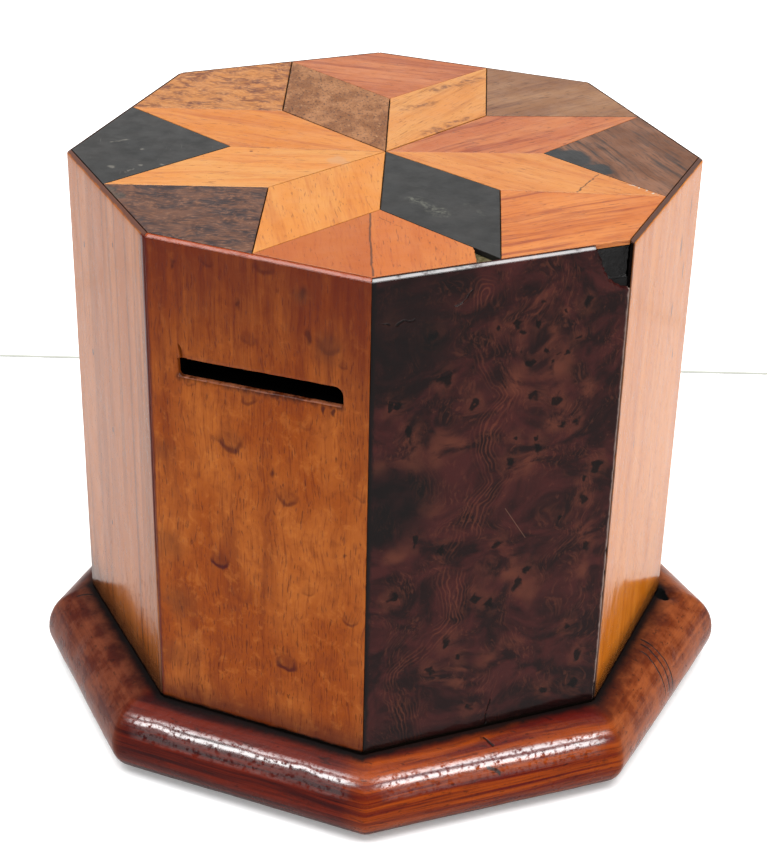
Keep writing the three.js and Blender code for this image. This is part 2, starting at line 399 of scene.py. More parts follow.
def side_frame(side):
    """The left foot corner of a side seen from outside, its direction and its length."""
    start, end = BODY_RING[side], BODY_RING[(side + 1) % 8]
    return start, (end - start).normalized(), (end - start).length


def on_side_plane(side, along, depth, height):
    start, direction, _ = side_frame(side)
    inward = Vector((-direction.y, direction.x))
    return (*(start + direction * along + inward * depth), FOOT + height)


def arris_wear(corner, height):
    """How much of a corner is rubbed off at a height, in millimetres."""
    fine = wobble(corner * 9.1, height * 0.9)
    broad = wobble(corner * 5.3 + 40, height * 0.13)
    nick = max(0, wobble(corner * 3.7 + 80, height * 0.42) - 0.42) * 1.6
    low = 0.12 * max(0, 1 - height / 14)
    return max(0, 0.06 + 0.05 * fine + 0.07 * broad) + min(nick, 0.3) + low


def arris_point(ring, corner, inset, share):
    """A point on the inset ring's rounded corner: share -1 on the side before, 0 on the mitre, 1 after."""
    before = (ring[corner] - ring[corner - 1]).normalized()
    after = (ring[(corner + 1) % 8] - ring[corner]).normalized()
    turn = before.angle_signed(after) * -1
    radius = max(ARRIS_RADII[corner] - inset * 0.4, 0.3)
    centre = inset_ring(ring, inset + radius)[corner]
    normal = Vector((before.y, -before.x))
    return centre + Matrix.Rotation(turn * (share + 1) / 2, 2) @ normal * radius


def side_outline(side, inset, height):
    """Points along the outside of one side, from mitre to mitre."""
    following = (side + 1) % 8
    rows = []
    for corner, shares in ((side, range(ARRIS_STEPS + 1)), (following, range(-ARRIS_STEPS, 1))):
        worn = arris_wear(corner, height)
        reach = [k / ARRIS_STEPS for k in shares]
        rows.append([arris_point(BODY_RING, corner, inset + worn * (1 - abs(s)) ** 0.7, s) for s in reach])
    left, right = rows
    gap = (right[-1] - left[0]).normalized() * VENEER_JOINT / 2
    left[0] += gap
    right[-1] -= gap
    along = right[0] - left[-1]
    shares = [0.006] + [k / SIDE_COLUMNS for k in range(1, SIDE_COLUMNS)] + [0.994]
    return left + [left[-1] + along * share for share in shares] + right


def settled(point, side):
    """Worn top edge, and the back corner that is rubbed away on a slant."""
    x, y, z = point
    start, direction, _ = side_frame(side)
    along = (Vector((x, y)) - start).dot(direction)
    if z > TOP - TOP_EDGE_DROP:
        z -= 0.02 * (1 + wobble(side * 7.7, along * 0.55))
        z -= 0.12 * max(0, wobble(side * 3.3, along * 0.9) - 0.35)
    if side in WORN_ALONG:
        corner = BODY_RING[WORN_CORNER]
        before, after = side_frame(5)[1] * -1, side_frame(6)[1]
        out = Vector((x, y)) - corner
        cross = before.x * after.y - before.y * after.x
        along_before = (out.x * after.y - out.y * after.x) / cross / WORN_ALONG[5]
        along_after = (before.x * out.y - before.y * out.x) / cross / WORN_ALONG[6]
        z = min(z, TOP - WORN_DEPTH * (1 - along_before - along_after))
    return x, y, z


def side_veneer(side, material):
    inner = inset_ring(BODY_RING, SIDE_VENEER)
    start, end = inner[side], inner[(side + 1) % 8]
    trim = (end - start).normalized() * VENEER_JOINT / 2
    start, end = start + trim, end - trim
    straight = BODY_HEIGHT + TOP_EDGE[0][1]
    rows = round(straight / ROW_HEIGHT)
    levels = [(0, straight * k / rows) for k in range(rows)]
    levels += [(inset, BODY_HEIGHT + drop) for inset, drop in TOP_EDGE]
    loops = []
    for inset, height in levels:
        outer = side_outline(side, inset, height)
        first, last = outer[0], outer[-1]
        span = (last - first).length
        back = [start + (end - start) * min(1, max(0, (p - first).length / span)) for p in outer]
        loops.append([settled((p.x, p.y, FOOT + height), side) for p in outer + back[::-1]])
    verts, faces = loft(loops)
    size = len(loops[0])
    top = (len(loops) - 1) * size
    for k in range(size // 2 - 1):
        faces.append((top + k, top + k + 1, top + size - 2 - k, top + size - 1 - k))
        faces.append((size - 1 - k, size - 2 - k, k + 1, k))
    return make_piece("veneer_" + SIDES[side], verts, faces, material, "side_veneer_" + SIDES[side])


def knife_through_side(side, outline, flare):
    """A closed shape through one side, from a flat outline (along, height), wider where flare says so."""
    loops = []
    for depth, wider in flare:
        loop = []
        for k, point in enumerate(outline):
            before, after = Vector(outline[k - 1]), Vector(outline[(k + 1) % len(outline)])
            run = (after - before).normalized()
            out = Vector((run.y, -run.x))
            moved = Vector(point) + out * wider
            loop.append(on_side_plane(side, moved.x, depth, moved.y))
        loops.append(loop[::-1])
    return closed_loft(loops)


SLOT_CORNER_STEPS = 4
SLOT_EDGE_STEPS = 24
SLOT_STRAIGHT_FROM = 2


def slot_outline():
    """The coin slot seen from outside, its ends rounded by hand and its long edges a little uneven."""
    length = side_frame(0)[2]
    half_long, half_high = SLOT_LENGTH / 2, SLOT_WIDTH / 2
    corners = (
        (half_long, -half_high, 0.35, -90), (half_long, half_high, 1.5, 0),
        (-half_long, half_high, 0.35, 90), (-half_long, -half_high, 0.9, 180),
    )
    points = []
    for x, y, radius, from_degrees in corners:
        centre = Vector((x - math.copysign(radius, x), y - math.copysign(radius, y)))
        for k in range(SLOT_CORNER_STEPS + 1):
            a = math.radians(from_degrees + 90 * k / SLOT_CORNER_STEPS)
            points.append(centre + Vector((math.cos(a), math.sin(a))) * radius)
        if (x > 0) == (y > 0):
            ahead = -1 if x > 0 else 1
            run = SLOT_LENGTH - 2 * SLOT_STRAIGHT_FROM
            for k in range(1, SLOT_EDGE_STEPS):
                at = x + ahead * (SLOT_STRAIGHT_FROM + run * k / SLOT_EDGE_STEPS)
                points.append(Vector((at, y + 0.09 * wobble(at * 0.45, y * 3) + 0.04 * wobble(at * 1.7, y))))
    turn = Matrix.Rotation(SLOT_TILT, 2)
    centre = Vector((length / 2 + SLOT_OFF_MIDDLE, SLOT_RISE))
    return [tuple(centre + turn @ p) for p in points]


# Knives: (depth, wider by) through the veneer, and the outline of the tear over the slot's left end
SLOT_FLARE = ((-1.5, 0.5), (-0.02, 0.28), (0.08, 0.12), (0.25, 0.02), (0.6, -0.05), (2.1, -0.05))
TEAR = ((6.5, 75.2), (8.3, 75.3), (7.35, 76.5), (6.5, 78.1), (6.15, 78.6), (6.3, 77.3), (6.45, 76.4))
TEAR_FLARE = ((-1.5, 0.1), (0.0, 0.05), (0.5, -0.12), (0.6, -0.14))


def ragged(points, reach, seed, spacing=0.45):
    """A line of points with a broken edge's small teeth."""
    teeth = []
    for start, end in zip(points, points[1:]):
        start, end = Vector(start), Vector(end)
        count = max(1, round((end - start).length / spacing))
        across = Vector((-(end - start).y, (end - start).x)).normalized()
        for k in range(count):
            point = start + (end - start) * k / count
            teeth.append(point + across * reach * wobble(seed + point.x * 1.9, point.y * 1.9))
    return teeth + [Vector(points[-1])]


def lost_corner_outline():
    length = side_frame(1)[2]
    edge = [(length - inward, BODY_HEIGHT - down) for inward, down in LOST_BURR_CORNER]
    teeth = [tuple(p) for p in ragged(edge, 0.35, 3.0)]
    outside = [(length + 4, BODY_HEIGHT - LOST_BURR_CORNER[-1][1]), (length + 4, BODY_HEIGHT + 3),
               (length - LOST_BURR_CORNER[0][0], BODY_HEIGHT + 3)]
    return teeth + outside


LOST_CORNER_FLARE = ((-3, 0.35), (0.05, 0.12), (0.25, -0.05), (0.5, -0.02), (0.7, -0.2), (1.8, -0.3))


# Star
def waist_point(corner):
    angle = -math.pi / 2 - TURN / 2 + corner * TURN
    from_centre = Vector((math.cos(angle), math.sin(angle))) * WAIST
    return STAR_CENTRE + from_centre + Vector(INNER_CORNER_SLIPS[corner % 8])


def star_point(side):
    left, right = STAR_RING[side % 8], STAR_RING[(side + 1) % 8]
    return (left + right) / 2 + (right - left).normalized() * STAR_POINT_SLIPS[side % 8]


STAR_EDGE_STEP = 1.6
STAR_BEVEL_IN, STAR_BEVEL_DOWN = 0.05, 0.06


def star_veneer(name, outline, insets, lift, material, node):
    """A flat veneer with hand-cut edges, a shade higher or lower than its neighbours."""
    loops = []
    edges = zip(outline, outline[1:] + outline[:1])
    counts = [max(1, round((end - start).length / STAR_EDGE_STEP)) for start, end in edges]
    for inward, height in ((0, -STAR_VENEER), (0, lift - STAR_BEVEL_DOWN), (STAR_BEVEL_IN, lift)):
        ring = inset_polygon(outline, [inset + inward for inset in insets])
        loop = []
        for k, start in enumerate(ring):
            end = ring[(k + 1) % len(ring)]
            run = end - start
            across = Vector((-run.y, run.x)).normalized()
            for step in range(counts[k]):
                p = start + run * step / counts[k]
                loose = 0.035 * (1 + wobble(p.x * 0.6 + len(name), p.y * 0.6)) if step else 0
                p += across * loose
                loop.append((p.x, p.y, TOP + height))
        loops.append(loop)
    verts, faces = closed_loft(loops)
    return make_piece(name, verts, faces, material, node)


def broken_kite_outline(side):
    """The front kite without its point: the break runs from the star's edge to the side."""
    tip, inner, corner = star_point(side), waist_point(side), STAR_RING[side]
    from_star = tip + (inner - tip).normalized() * LOST_KITE_ALONG_STAR
    from_side = tip + (corner - tip).normalized() * LOST_KITE_ALONG_SIDE
    teeth = ragged([tuple(from_side), tuple(from_star)], 0.3, 8.0, 0.6)
    return [inner, star_point(side - 1), corner] + teeth


# Top board, rough where the burr veneer and the front kite are lost
TOP_BOARD_LEVELS = 12
TOP_BOARD_PER_SIDE = 72
TOP_BOARD_INWARDS = (0.99, 0.975, 0.96, 0.945, 0.93, 0.91, 0.89, 0.87, 0.85, 0.83, 0.8, 0.6, 0.3, 0.02)
LOST_CORNER_REACH = 9
LOST_POINT_REACH = 8


def top_board(material):
    ring = inset_ring(BODY_RING, VENEER_JOINT + SIDE_VENEER)
    bottom, top = TOP - STAR_VENEER - VENEER_JOINT - TOP_BOARD, TOP - STAR_VENEER - VENEER_JOINT
    loops = []
    for level in range(TOP_BOARD_LEVELS + 1):
        height = bottom + (top - bottom) * level / TOP_BOARD_LEVELS
        held = 0.2 if level in (0, TOP_BOARD_LEVELS) else 1
        loop = []
        for corner, start in enumerate(ring):
            run = ring[(corner + 1) % 8] - start
            inward = Vector((-run.y, run.x)).normalized()
            for s in range(TOP_BOARD_PER_SIDE):
                p = start + run * s / TOP_BOARD_PER_SIDE
                rough = max(0, 1 - (p - STAR_RING[2]).length / LOST_CORNER_REACH) ** 0.5
                lumps = 0.3 + 0.3 * wobble(p.x * 0.9, p.y * 0.9, height * 0.9)
                lumps += 0.16 * wobble(p.x * 2.7, p.y * 2.7, height * 2.7)
                p += inward * max(0, lumps) * rough * held
                loop.append((p.x, p.y, height))
        loops.append(loop)
    rim = loops[-1]
    for share in TOP_BOARD_INWARDS:
        loop = []
        for x, y, z in rim:
            p = STAR_CENTRE + (Vector((x, y)) - STAR_CENTRE) * share
            lost = max(0, 1 - (p - star_point(1)).length / LOST_POINT_REACH) ** 0.5
            sunk = max(0, 0.12 + 0.12 * wobble(p.x * 1.4, p.y * 1.4) + 0.08 * wobble(p.x * 3.3, p.y * 3.3))
            loop.append((p.x, p.y, z - sunk * lost))
        loops.append(loop)
    verts, faces = closed_loft(loops)
    return make_piece("top_board", verts, faces, material, "top_board")


# Base
BASE_CORNER_RADIUS = 2.4
BASE_ROUNDING_STEPS = 12
BASE_PER_SIDE = 44
BASE_PER_CORNER = 5
# Dents: across, away, height, reach and depth
BASE_DENTS = (
    (41.0, -50.5, 12.0, 2.2, 0.25), (-50.0, -43.0, 12.5, 3.5, 0.3), (10.0, -62.0, 12.0, 2.0, 0.2),
    (-21.0, -61.5, 11.5, 2.6, 0.2), (62.0, 8.0, 12.0, 2.6, 0.25), (-64.0, -12.0, 11.0, 3.0, 0.25),
    (-38.0, -54.0, 3.0, 1.5, 0.3), (52.0, -41.0, 4.0, 1.6, 0.25), (56.4, 20.6, 16.5, 1.8, 1.5),
)


def rounded_ring(ring, inset, radius):
    """The ring further in by an amount, with many points and rounded corners."""
    points = []
    centres = inset_ring(ring, inset + radius)
    for k, centre in enumerate(centres):
        before = (ring[k] - ring[k - 1]).normalized()
        after = (ring[(k + 1) % 8] - ring[k]).normalized()
        first = Vector((before.y, -before.x))
        turn = before.angle_signed(after) * -1
        for step in range(BASE_PER_CORNER + 1):
            points.append(centre + Matrix.Rotation(turn * step / BASE_PER_CORNER, 2) @ first * radius)
        start = points[-1]
        run = centres[(k + 1) % 8] - centre
        points += [start + run * step / BASE_PER_SIDE for step in range(1, BASE_PER_SIDE)]
    return points


def base_profile():
    """The rounded edge from the foot to the flat top, as (inset, height)."""
    rise = BASE_THICKNESS - BASE_WIDEST_HEIGHT
    angles = [math.pi / 2 * k / BASE_ROUNDING_STEPS for k in range(BASE_ROUNDING_STEPS + 1)]
    turns = [(math.sin(a), math.cos(a)) for a in angles]
    below = [(BASE_LOWER_ROUNDING * (1 - s), BASE_WIDEST_HEIGHT * (1 - c)) for s, c in turns]
    above = [(BASE_UPPER_ROUNDING * (1 - c), BASE_WIDEST_HEIGHT + rise * s) for s, c in turns[1:]]
    return below + above + [(BASE_UPPER_ROUNDING + further, BASE_THICKNESS) for further in (0.6, 1.6)]


def base_board(material):
    loops = []
    for inset, height in base_profile():
        radius = max(BASE_CORNER_RADIUS - inset * 0.12, 0.8)
        on_edge = height >= 0.1 and inset <= BASE_UPPER_ROUNDING - 0.5
        loop = []
        for p in rounded_ring(BASE_RING, inset, radius):
            rubbed = 0.1 + 0.1 * wobble(p.x * 0.07, p.y * 0.07, height * 0.1)
            rubbed += 0.05 * wobble(p.x * 0.3, p.y * 0.3, height * 0.3)
            for x, y, z, reach, depth in BASE_DENTS:
                far = (Vector((p.x, p.y, height)) - Vector((x, y, z))).length / reach
                rubbed += depth * max(0, 1 - far * far)
            level = height - (rubbed * 0.7 if height > 14 else 0)
            sideways = rubbed if on_edge else 0
            loop.append((*(p - p.normalized() * sideways), max(level, 0)))
        loops.append(loop)
    verts, faces = closed_loft(loops)
    return make_piece("base", verts, faces, material, "base_board")


# Woods
def wood(place, dark, middle, light, stripe, length, stripes=0.6, fibre=0.35, pore=0.4, sway=1.0, seed=0.0):
    """Straight-grained wood whose grain runs along the place's first axis: its colour, fibres and pores."""
    bent = place.swayed(sway, 14, seed)
    broad = bent.noise((length, stripe * 3.2, stripe * 3.2), 2, 0.5, seed + 1)
    bands = bent.noise((length * 1.6, stripe, stripe), 3, 0.6, seed + 2)
    strands = bent.noise((9, 0.42, 0.42), 2, 0.6, seed + 3)
    clouds = place.noise((9, 6, 6), 2, 0.5, seed + 4)
    pores = bent.noise((2.4, 0.3, 0.3), 1, 0.4, seed + 5)
    colour = mix(broad.step(0.36, 0.64), middle, light)
    colour = mix(bands.step(0.48, 0.7) * stripes, colour, dark)
    colour = mix(clouds.step(0.42, 0.7) * 0.35, colour, middle)
    colour = mix(strands.step(0.5, 0.72) * fibre, colour, dark)
    open_pores = pores.step(0.64, 0.72)
    colour = mix(open_pores * pore, colour, tuple(c * 0.35 for c in dark))
    return colour, strands, open_pores


def panel_place(finish, side):
    """Along the side, in from its face, up from its foot."""
    start, direction, _ = side_frame(side)
    return finish.place(start, math.atan2(direction.y, direction.x), FOOT)


def upright_grain(place):
    """The panel's place turned so that the grain runs up it."""
    along, inward, up = place.parts()
    return join(up, along, inward)


def foot_dirt_and_shade(colour, place, height, dirt, strength):
    """A soft dark foot edge, dirt with painted shade and a painted reflection of the base, and a painted
    black shadow line in the corner beside the base.
    """
    _, _, up = place.parts()
    cloud = place.noise((4, 4, 1.4), 3, 0.6, 21)
    mask = (up - cloud * 2.5).step(height, -0.8) * strength
    colour = mix(mask, colour, dirt)
    return mix((up - cloud * 1.2).step(0.5, -0.3), colour, (0.002, 0.0015, 0.001))


def out_from(flat, ring, sides):
    """Millimetres out from the farthest of some sides of a ring."""
    apart = []
    for side in sides:
        start, end = ring[side], ring[(side + 1) % 8]
        run = (end - start).normalized()
        from_start = flat.vector("SUBTRACT", (start.x, start.y, 0))
        apart.append(from_start.vector("DOT_PRODUCT", (run.y, -run.x, 0), 1))
    return most(apart)


BASE_POLISH = {"IOR": 1.12, "Coat IOR": 1.55, "Coat Roughness": 0.13}
POLISH = {"IOR": 1.15, "Coat IOR": 1.75, "Coat Roughness": 0.12}
FRONT_ROUGHNESS = 0.12
EDGE_POLISH = 0.6


def edge_polish(place, weight):
    """The thicker polish that has gathered on the rounded edge under the star."""
    _, _, up = place.parts()
    worn = place.noise(2.2, 3, 0.6, 52).step(0.24, 0.5)
    lit = up.step(BODY_HEIGHT - EDGE_POLISH, BODY_HEIGHT - EDGE_POLISH + 0.2)
    return lit * up.step(BODY_HEIGHT - 0.1, BODY_HEIGHT - 0.2) * worn * weight


def dark_rim(colour, place, rim):
    """The veneer's narrow top edge, brown with handling."""
    _, _, up = place.parts()
    ragged_height = up + place.noise(2.5, 2, 0.6, 51) * 0.5
    return mix(ragged_height.step(BODY_HEIGHT - 0.3, BODY_HEIGHT - 0.1), colour, rim)


# Eyes: along, up, radius and strength
MAPLE_EYES = (
    (16.2, 60.7, 2.3, 1.0), (19.8, 70.4, 1.5, 0.8), (8.4, 71.2, 1.1, 0.5), (35.4, 84.1, 2.1, 0.75),
    (23.2, 96.6, 2.0, 0.8), (12.3, 95.2, 1.3, 0.7), (20.0, 81.9, 1.3, 0.45), (38.0, 80.9, 0.9, 0.6),
    (30.9, 67.8, 1.3, 0.35), (13.6, 34.6, 1.7, 1.2), (27.1, 16.0, 2.0, 1.1), (39.8, 29.1, 1.4, 0.8),
    (31.6, 33.3, 1.2, 0.5), (27.5, 52.0, 1.9, 0.85), (41.4, 56.0, 1.3, 0.5), (18.4, 28.6, 2.4, 0.3),
)
# The other spots of the sides are along, up and radius
MAPLE_FLECKS = (
    (31.5, 85.2, 0.8), (5.7, 93.7, 0.55), (18.1, 88.7, 0.5), (24.6, 56.6, 0.6), (38.9, 42.9, 0.35),
    (24.5, 48.3, 0.4), (6.6, 69.1, 0.35), (28.1, 77.9, 0.4), (30.6, 93.0, 0.8), (37.2, 62.5, 0.4),
)
MAPLE_SMEARS = (
    (1.5, 55.5, 3.2), (5.0, 24.0, 4.5), (2.6, 36.0, 4.0), (35.0, 83.5, 3.6), (30.5, 92.5, 2.4),
    (3.0, 11.0, 4.0),
)
MAPLE_DRIPS = ((34.6, 71.8, 0.5), (36.4, 71.6, 0.45))
SLOT_LIP = ((6.2, 72.0), (15.0, 72.3), (37.6, 73.2))


def lower(spots, share):
    """The spots at a share of their height, for a place squeezed alike, in which they are tall ovals."""
    return [(x, y * share, radius) for x, y, radius in spots]


def maple():
    place = panel_place(Finish("birds_eye_maple_polished"), 0)
    along, _, up = place.parts()
    grain = upright_grain(place)
    colour, strands, pores = wood(grain, on_side(100, 46, 18), on_side(143, 71, 31), on_side(168, 94, 46),
                                  stripe=3.4, length=26, stripes=0.45, fibre=0.5, pore=0.5, sway=1.6, seed=1)
    mottle = place.swayed(1.5, 4, 2).noise((2.4, 2.4, 3.4), 4, 0.65, 7)
    colour = mix(mottle.step(0.5, 0.7) * 0.4, colour, on_side(112, 54, 26))
    colour = mix(mottle.step(0.48, 0.3) * 0.35, colour, on_side(190, 114, 56))
    streak = grain.noise((24, 1.6, 1.6), 4, 0.65, 6)
    top_shade = (up + streak * 50).step(82, 130)
    colour = mix(top_shade * 0.85, colour, on_side(92, 42, 12))
    flat = join(along, up)
    bent = flat.swayed(1.0, 2.6, 3)
    marks = []
    for x, y, radius, strength in MAPLE_EYES:
        out = bent.vector("SUBTRACT", (x, y + radius * 0.4, 0))
        far = out.vector("LENGTH", (0, 0, 0), 1) / radius
        ring = far.step(0.5, 0.9) * far.step(1.3, 0.98)
        _, below, _ = out.parts()
        bowl = below.step(radius * 0.5, -radius * 0.8)
        marks.append((ring * bowl * 0.85 + far.step(1.5, 0.2) * 0.4) * strength)
    colour = mix((most(marks) * 0.75).held(), colour, on_side(70, 34, 26))
    flecks = bent.vector("MULTIPLY", (1, 0.45, 1)).near(lower(MAPLE_FLECKS, 0.45))
    colour = mix(flecks.step(1.2, 0.3) * 0.7, colour, on_side(62, 32, 24))
    smears = flat.swayed(1.6, 5, 9).near(MAPLE_SMEARS)
    colour = mix(smears.step(1.3, 0.2) * 0.3, colour, on_side(96, 62, 44))
    lip = flat.off_line(SLOT_LIP)
    lip_dirt = (lip + grain.noise((3, 1.2, 1), 3, 0.7, 14) * 2.4).step(2.5, 1.0)
    colour = mix(lip_dirt * 0.8, colour, on_side(48, 26, 20))
    # Painted highlight: a thin pale line along the slot's lower lip
    lit = lip.step(0.3, 0.12) * place.noise(1.6, 3, 0.6, 16).step(0.4, 0.6)
    colour = mix(lit * 0.4, colour, on_side(176, 110, 80))
    drips = bent.vector("MULTIPLY", (1, 0.4, 1)).near(lower(MAPLE_DRIPS, 0.4))
    colour = mix(drips.step(1.2, 0.4) * 0.8, colour, on_side(60, 32, 22))
    corner = (along + place.noise((2, 2, 9), 3, 0.6, 22) * 0.7).step(1.3, 0.7)
    colour = mix(corner * 0.75, colour, on_side(82, 34, 22))
    colour = dark_rim(colour, place, on_side(150, 70, 42))
    # Dirt with painted shade and a painted reflection of the base along the foot
    colour = foot_dirt_and_shade(colour, place, 6.5, on_side(84, 42, 28), 0.75)
    height = strands * 0.02 - pores * 0.03 + place.noise(7, 2, 0.5, 30) * 0.16
    return place.finish.surface(colour, FRONT_ROUGHNESS, height.bump(), edge_polish(place, 0.2), **POLISH)


def dark_burr(flat, dark, middle, light, line, spots, blotches):
    """Burr: smoky swirls and fine flowing hairs round clusters of small dark eyes."""
    flow = flat.swayed(9, 17, 4).swayed(2.6, 6, 5)
    slow = flow.noise(10, 3, 0.55, 2)
    smoke = flow.noise((7.5, 4.2, 4.2), 4, 0.6, 5)
    colour = mix((slow * 0.45 + smoke * 0.55).step(0.4, 0.62), dark, middle)
    hairs = flow.swayed(0.6, 2.5, 7).noise((0.5, 6.0, 0.5), 2, 0.6, 9)
    hair_area = flow.noise((6, 8, 6), 2, 0.5, 11).step(0.46, 0.62)
    colour = mix(hairs.step(0.46, 0.7) * hair_area * 0.4, colour, line)
    glow = flat.swayed(3.6, 6, 8).near(blotches).step(1.5, 0.1)
    colour = mix(glow * smoke.step(0.38, 0.58) * 0.8, colour, light)
    squeezed = flat.swayed(1.8, 3.2, 6).swayed(0.7, 1.1, 9).vector("MULTIPLY", (1, 0.8, 1))
    eyes = squeezed.near([(x, y, min(radius, 1.05) * 0.92) for x, y, radius in lower(spots, 0.8)])
    colour = mix(eyes.step(3.4, 1.2) * smoke.step(0.36, 0.56) * 0.35, colour, light)
    colour = mix(eyes.step(1.15, 0.6) * 0.9, colour, tuple(c * 0.15 for c in dark))
    specks = flat.swayed(1.0, 2, 3).noise((0.9, 1.2, 0.9), 2, 0.6, 12)
    colour = mix(specks.step(0.62, 0.76) * 0.35, colour, light)
    return colour, slow, smoke


BURR_EYES = (
    (26.8, 85.9, 0.95), (23.1, 85.5, 0.75), (28.1, 84.2, 0.8), (31.0, 84.8, 0.9), (33.0, 79.8, 0.85),
    (35.7, 78.9, 0.6), (36.9, 78.6, 0.75), (38.5, 80.4, 0.6), (39.4, 81.5, 0.5), (30.2, 77.6, 0.8),
    (31.4, 70.7, 1.1), (35.6, 69.4, 1.1), (37.0, 64.7, 0.8), (39.5, 64.2, 1.0), (27.2, 58.0, 1.0),
    (28.4, 62.9, 0.7), (33.0, 60.4, 0.9), (32.4, 61.9, 0.7), (44.8, 54.3, 1.3), (42.4, 52.2, 0.9),
    (31.8, 89.6, 0.6), (35.9, 86.4, 0.6), (40.6, 88.2, 0.9), (28.3, 80.6, 0.55), (34.3, 77.6, 0.5),
    (11.2, 85.8, 1.3), (5.1, 73.9, 1.2), (3.7, 73.4, 0.8), (13.8, 77.2, 1.7), (22.2, 30.5, 1.1),
    (24.6, 28.6, 1.2), (30.3, 31.6, 1.5), (31.7, 34.2, 1.1), (25.9, 41.4, 0.9), (14.7, 42.2, 1.1),
    (9.2, 45.5, 1.5), (44.3, 37.2, 1.4), (41.5, 19.5, 1.0), (43.8, 12.5, 1.1), (43.8, 5.7, 1.0),
    (36.8, 5.8, 1.0), (21.5, 5.6, 1.6), (13.2, 16.0, 1.2), (19.0, 17.2, 0.9), (16.5, 21.7, 1.1),
    (7.5, 67.5, 1.4), (19.5, 71.5, 1.6), (43.0, 47.5, 1.0), (38.5, 44.5, 0.8), (5.0, 34.0, 1.6),
)
BURR_LIGHTS = (
    (14.0, 64.4, 3.0), (8.0, 62.6, 3.2), (2.0, 61.2, 2.4), (25.5, 36.8, 3.4), (28.0, 34.5, 2.8),
    (24.4, 15.8, 2.4), (19.5, 13.0, 2.2), (29.0, 18.2, 2.4), (33.5, 84.0, 3.0), (28.0, 75.4, 2.6),
    (35.0, 75.0, 3.4), (42.0, 71.0, 2.6), (29.7, 57.5, 3.2), (36.0, 65.8, 2.4), (3.5, 91.0, 1.8),
    (42.5, 33.0, 2.2), (44.0, 40.5, 2.2), (33.5, 30.0, 2.2), (12.0, 52.0, 2.4), (6.5, 43.0, 2.2),
)
BURR_GROWTH = (
    (20.6, 93.0), (20.9, 86.5), (22.2, 79.5), (25.3, 75.2), (26.6, 72.0), (24.6, 69.4), (22.4, 65.0),
    (22.5, 61.7), (24.8, 55.1), (21.4, 50.0), (19.0, 44.0), (16.5, 35.6), (17.4, 30.0), (17.8, 26.5),
    (12.5, 21.5), (7.0, 17.0), (8.5, 9.0), (10.0, 1.0),
)


BURR_GLOOM = ((5, 88, 10), (4, 54, 7))
BURR_CRACKS = (
    ((1.3, 90.0), (3.8, 89.2), (7.9, 89.7)), ((15.1, 90.8), (16.6, 91.6), (18.3, 93.4)),
    ((26.3, 8.6), (25.2, 0.6)),
)


def burr():
    place = panel_place(Finish("dark_burr_polished"), 1)
    along, _, up = place.parts()
    flat = join(along, up)
    colour, slow, smoke = dark_burr(flat, on_side(44, 25, 28), on_side(72, 43, 42), on_side(102, 61, 50),
                                    on_side(108, 64, 52), BURR_EYES, BURR_LIGHTS)
    gloom = flat.swayed(4, 9, 16).near(BURR_GLOOM).step(1.9, 0.4)
    colour = mix(gloom * 0.75, colour, on_side(30, 16, 20))
    growth = flat.swayed(1.6, 6, 13).swayed(0.25, 1.8, 14).off_line(BURR_GROWTH)
    lines = (growth * 8.5 + smoke * 2).wave().step(-0.2, 1.0) * growth.step(4.2, 0.4)
    patchy = flat.noise((5, 8, 5), 2, 0.5, 19).step(0.4, 0.58)
    colour = mix(lines * patchy * 0.36, colour, on_side(118, 68, 54))
    cracks = flat.swayed(0.8, 2.2, 15).off_line(*BURR_CRACKS)
    colour = mix(cracks.step(0.24, 0.06), colour, (0.002, 0.001, 0.001))
    scratch = flat.off_line(((26.8, 48.7), (31.2, 41.6)))
    colour = mix(scratch.step(0.11, 0.02) * 0.28, colour, on_side(160, 120, 100))
    left_edge = (along - place.noise((1, 1, 3), 3, 0.7, 17) * 1.6).step(0.4, -0.4)
    colour = mix(left_edge * 0.9, colour, (0.003, 0.002, 0.002))
    length = side_frame(1)[2]
    # Pale line down the right arris: rubbed wear with a painted highlight on it
    right_edge_wear_and_highlight = (along + place.noise((1, 1, 2.2), 3, 0.7, 18) * 0.9).step(length - 0.15, length + 0.25)
    colour = mix(right_edge_wear_and_highlight * 0.75, colour, on_side(150, 128, 118))
    # Dirt with painted shade and a painted reflection of the base along the foot, nearly black
    colour = foot_dirt_and_shade(colour, place, 3.6, (0.004, 0.002, 0.002), 0.8)
    height = place.noise(8, 2, 0.5, 31) * 0.14 + slow * 0.1
    height = height - cracks.step(0.3, 0.05) * 0.08
    return place.finish.surface(colour, FRONT_ROUGHNESS, height.bump(), edge_polish(place, 0.7), **POLISH)


def straight_panel(side, name, dark, middle, light, **grain_ways):
    place = panel_place(Finish(name), side)
    woods = [on_side(*colour) for colour in (dark, middle, light)]
    return place, *wood(upright_grain(place), *woods, **grain_ways)


SIDE_POLISH = {"IOR": 1.145}


def finish_panel(place, colour, strands, pores, roughness=0.14, rim=(0.075, 0.03, 0.02), foot=7.0):
    colour = dark_rim(colour, place, rim)
    # Dirt with painted shade and a painted reflection of the base along the foot
    colour = foot_dirt_and_shade(colour, place, foot, (0.012, 0.005, 0.0035), 0.85)
    height = strands * 0.012 - pores * 0.015 + place.noise((6, 6, 12), 2, 0.5, 32) * 0.12
    return place.finish.surface(colour, roughness, height.bump(), **SIDE_POLISH)


TULIPWOOD_HOLES = (
    (8.4, 82.0, 0.35), (10.2, 60.0, 0.4), (20.5, 48.0, 0.3), (26.0, 89.0, 0.3), (17.0, 25.0, 0.3),
)


